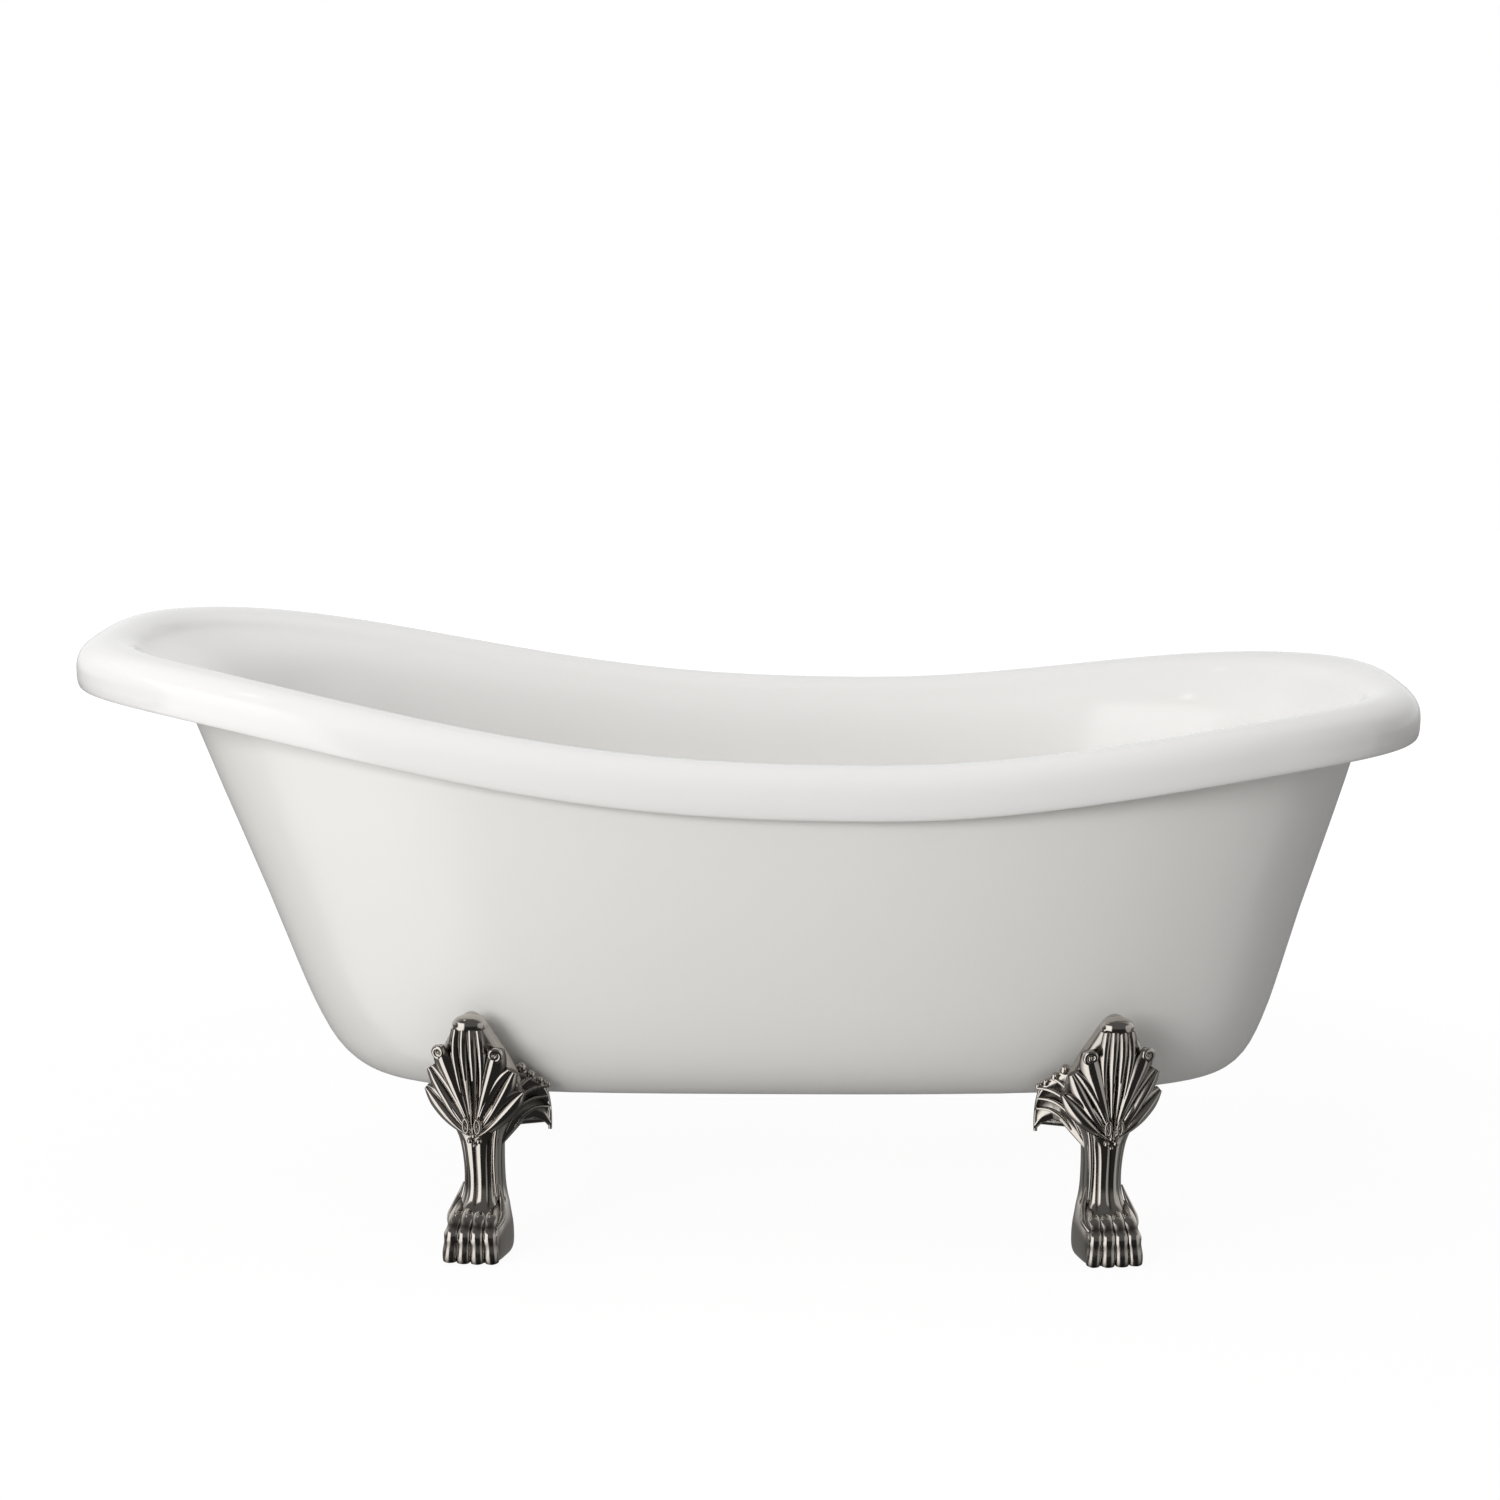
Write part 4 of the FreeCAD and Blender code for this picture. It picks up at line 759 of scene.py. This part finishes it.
# ------------------------------------------------------------------ operators
def nodes_of(slot):
    """The frame's objects that take their finish from a material slot of the record."""
    parts = frame["record"]["subparts"]
    return [frame["nodes"][part["node"]] for part in parts if part["material_slot"] == slot]


def paint(objects, material):
    """Gives each object this one material."""
    for obj in objects:
        obj.data.materials.clear()
        obj.data.materials.append(material)


class BATHTUB_OT_shells(bpy.types.Operator):
    """Finishes the basin and the skirt in glossy white acrylic"""
    bl_idname = "bathtub.shells"
    bl_label = "Shells"

    def execute(self, context):
        settings = context.scene.bathtub_shell
        paint(nodes_of("acrylic"), sanitary_acrylic(settings.basin))
        paint(nodes_of("skirt"), skirt_acrylic(settings.skirt))
        return {"FINISHED"}


class BATHTUB_OT_feet(bpy.types.Operator):
    """Builds the claw-foot casting and mirrors it to the four corners"""
    bl_idname = "bathtub.feet"
    bl_label = "Claw feet"

    def execute(self, context):
        settings = context.scene.bathtub_feet
        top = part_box("outer_skirt")[0].z / MM - 0.4
        forms = [core(settings), *leaf(), *toes(settings), *tendons(), *wing(), bracket(top)]
        forms = [(clear_of_tub(points, settings.gap / MM), faces, relief_shade)
                 for points, faces, relief_shade in forms]
        material = plated_casting(settings.metal, settings.painted_groove_shade)
        for corner, (leg_x, leg_y, sign_x, sign_y) in LEGS.items():
            turned = [(points * (sign_x, sign_y, 1) + (leg_x, leg_y, 0), faces, relief_shade)
                      for points, faces, relief_shade in forms]
            foot = make_piece("claw_foot_" + corner, turned, sign_x * sign_y < 0)
            foot.data.materials.append(material)
            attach(foot, "tub")
            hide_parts("foot_" + corner)
        return {"FINISHED"}


class BATHTUB_OT_fittings(bpy.types.Operator):
    """Finishes the waste, the plug, the overflow, the board and the fixings"""
    bl_idname = "bathtub.fittings"
    bl_label = "Fittings"

    def execute(self, context):
        settings = context.scene.bathtub_fittings
        paint(nodes_of("chrome"), chrome_plate(settings.chrome))
        paint(nodes_of("brass"), turned_brass(settings.brass))
        paint(nodes_of("zinc"), zinc_plate(settings.zinc))
        paint(nodes_of("nylon"), moulded_plastic("moulded_nylon", settings.nylon, 0.5))
        paint(nodes_of("acetal"), moulded_plastic("moulded_acetal", settings.acetal, 0.35))
        paint(nodes_of("rubber"), moulded_rubber(settings.rubber))
        paint(nodes_of("timber"), pressed_board(settings.timber))
        return {"FINISHED"}


class BATHTUB_OT_stage(bpy.types.Operator):
    """Lays the floor, hangs the lamps, lights the backdrop and places the camera"""
    bl_idname = "bathtub.stage"
    bl_label = "Stage"

    def execute(self, context):
        settings = context.scene.bathtub_stage
        lay_floor(settings)
        light_backdrop(settings)
        hang_lamps(settings)
        place_camera(settings)
        context.scene.view_settings.view_transform = "Standard"
        return {"FINISHED"}


def lay_floor(settings):
    """A round sheet of paper on the ground, one flat face."""
    radius, corners = 9, 64
    angle = turns(corners)
    ring = np.stack([radius * np.cos(angle), radius * np.sin(angle), 0 * angle], axis=1)
    mesh = bpy.data.meshes.new("floor")
    mesh.from_pydata(ring.tolist(), [], [list(range(corners))])
    floor = bpy.data.objects.new("floor", mesh)
    bpy.context.scene.collection.objects.link(floor)
    mesh.materials.append(studio_floor(settings.floor))


# What gloss sees, as ramps over the x, y or z of its direction: where each starts and ends.
BACKDROP_Y = (-0.25, 0.5)           # from the room in front to the white backdrop behind
HORIZON_Z = (-0.20, 0.02)           # from the shaded ground up to the room
WINDOW_TOP_Z = (0.45, 0.55)
WINDOW_FRONT_Y = (-0.05, 0.05)
WINDOW_LEFT_X = ((-0.90, -0.85), (-0.45, -0.40))
WINDOW_RIGHT_X = (0.66, 0.72)
GROUND_SHARE = 0.22                 # brightness of the ground, as a share of the room's
RIGHT_SHARE = 0.3                   # brightness of the right window, as a share of the left's


def light_backdrop(settings):
    """White behind the tub; gloss also sees the dim room in front, with a window at its left.

    The room's strength for gloss rises with the y of the direction, from dim in front to the
    backdrop's white behind, and falls below the horizon, where the shaded floor would be. The
    window is the product of ramps on x, y and z, and a fainter one stands at the right. Light
    that falls on things is even, from all round."""
    world = bpy.data.worlds.new("studio")
    bpy.context.scene.world = world
    world.use_nodes = True
    tree = world.node_tree
    tree.nodes.clear()
    white = add(tree, "ShaderNodeBackground", values={"Color": WHITE, "Strength": 1.0})
    even = add(tree, "ShaderNodeBackground",
               values={"Color": WHITE, "Strength": settings.ambient})
    place = add(tree, "ShaderNodeTexCoord")
    axes = add(tree, "ShaderNodeSeparateXYZ", links={"Vector": place.outputs["Generated"]})
    x, y, z = (axes.outputs[axis] for axis in "XYZ")
    backdrop = maths(tree, "MULTIPLY", spread(tree, y, settings.room, 1.0, *BACKDROP_Y),
                     spread(tree, z, GROUND_SHARE, 1.0, *HORIZON_Z))
    below_top = spread(tree, z, 1.0, 0.0, *WINDOW_TOP_Z)
    in_front = spread(tree, y, 1.0, 0.0, *WINDOW_FRONT_Y)
    outer_edge, inner_edge = WINDOW_LEFT_X
    left = maths(tree, "MULTIPLY", spread(tree, x, settings.window, 0.0, *inner_edge),
                 spread(tree, x, 0.0, 1.0, *outer_edge))
    right = spread(tree, x, 0.0, RIGHT_SHARE * settings.window, *WINDOW_RIGHT_X)
    windows = maths(tree, "MULTIPLY", maths(tree, "ADD", left, right),
                    maths(tree, "MULTIPLY", below_top, in_front))
    room = add(tree, "ShaderNodeBackground", values={"Color": WHITE},
               links={"Strength": maths(tree, "ADD", backdrop, windows)})
    path = add(tree, "ShaderNodeLightPath")
    seen = add(tree, "ShaderNodeMixShader", links={
        "Fac": path.outputs["Is Glossy Ray"], 1: white.outputs["Background"],
        2: room.outputs["Background"]})
    both = add(tree, "ShaderNodeMixShader", links={
        "Fac": backdrop_rays(tree), 1: even.outputs["Background"], 2: seen.outputs["Shader"]})
    add(tree, "ShaderNodeOutputWorld", links={"Surface": both.outputs["Shader"]})


def hang_lamp(name, place, target, size, power, in_gloss=True, roll=0.0):
    """A flat lamp that faces its target; one left out of gloss lights things unmirrored."""
    lamp = bpy.data.lights.new(name, "AREA")
    lamp.shape = "RECTANGLE"
    lamp.size, lamp.size_y = size
    lamp.energy = power
    holder = bpy.data.objects.new(name, lamp)
    holder.location = place
    facing = (Vector(target) - Vector(place)).to_track_quat("-Z", "Y").to_matrix()
    holder.rotation_euler = (facing @ Matrix.Rotation(roll, 3, "Z")).to_euler()
    holder.visible_glossy = in_gloss
    bpy.context.scene.collection.objects.link(holder)


def hang_lamps(settings):
    """A large soft key at the front left, a fill overhead and a narrow lamp at the top left.

    The narrow one faces the inside of the low end and is the only one that gloss mirrors."""
    middle, low_end = (0.0, 0.0, 0.4), (0.59, 0.24, 0.60)
    hang_lamp("key_lamp", (-2.5, -4.1, 1.9), middle, (2.2, 2.0), settings.key_power, False)
    hang_lamp("fill_lamp", (-0.4, 0.2, 3.6), middle, (3.0, 2.0), settings.fill_power, False)
    hang_lamp("strip_lamp", (-1.21, -0.87, 2.54), low_end, (0.16, 0.45),
              settings.strip_power, roll=math.radians(24))


CAMERA_PLACE = (0.0614, -4.001, 1.2796)
CAMERA_DOWN = 9.849     # degrees below level
CAMERA_SIDE = 0.015     # radians to the left of straight ahead
SENSOR_WIDTH = 36.0     # millimetres


def place_camera(settings):
    """The camera that fits the photograph's outline."""
    camera = bpy.data.cameras.new("photo_camera")
    camera.lens = settings.focal
    camera.sensor_width = SENSOR_WIDTH
    holder = bpy.data.objects.new("photo_camera", camera)
    holder.location = CAMERA_PLACE
    holder.rotation_euler = (math.radians(90 - CAMERA_DOWN), 0.0, CAMERA_SIDE)
    bpy.context.scene.collection.objects.link(holder)
    bpy.context.scene.camera = holder


# ------------------------------------------------------------------ panel and registration
class BATHTUB_PT_sidebar(bpy.types.Panel):
    """Lists the tub's pieces and the stage"""
    bl_idname = "BATHTUB_PT_sidebar"
    bl_label = "Bathtub"
    bl_space_type = "VIEW_3D"
    bl_region_type = "UI"
    bl_category = "Bathtub"

    def draw(self, context):
        for group, operator in zip(SETTINGS, OPERATORS):
            box = self.layout.box()
            settings = getattr(context.scene, group)
            for name in settings.__annotations__:
                box.prop(settings, name)
            box.operator(operator.bl_idname)


SETTINGS = {
    "bathtub_shell": BathtubShellSettings,
    "bathtub_feet": BathtubFeetSettings,
    "bathtub_fittings": BathtubFittingSettings,
    "bathtub_stage": BathtubStageSettings,
}
OPERATORS = (BATHTUB_OT_shells, BATHTUB_OT_feet, BATHTUB_OT_fittings, BATHTUB_OT_stage)
CLASSES = (*SETTINGS.values(), *OPERATORS, BATHTUB_PT_sidebar)


def register():
    for cls in CLASSES:
        bpy.utils.register_class(cls)
    for name, cls in SETTINGS.items():
        setattr(bpy.types.Scene, name, PointerProperty(type=cls))


def unregister():
    for name in SETTINGS:
        delattr(bpy.types.Scene, name)
    for cls in reversed(CLASSES):
        bpy.utils.unregister_class(cls)


def main():
    """Builds and lights everything."""
    register()
    bpy.ops.bathtub.shells()
    bpy.ops.bathtub.feet()
    bpy.ops.bathtub.fittings()
    bpy.ops.bathtub.stage()


if __name__ == "__main__":
    main()
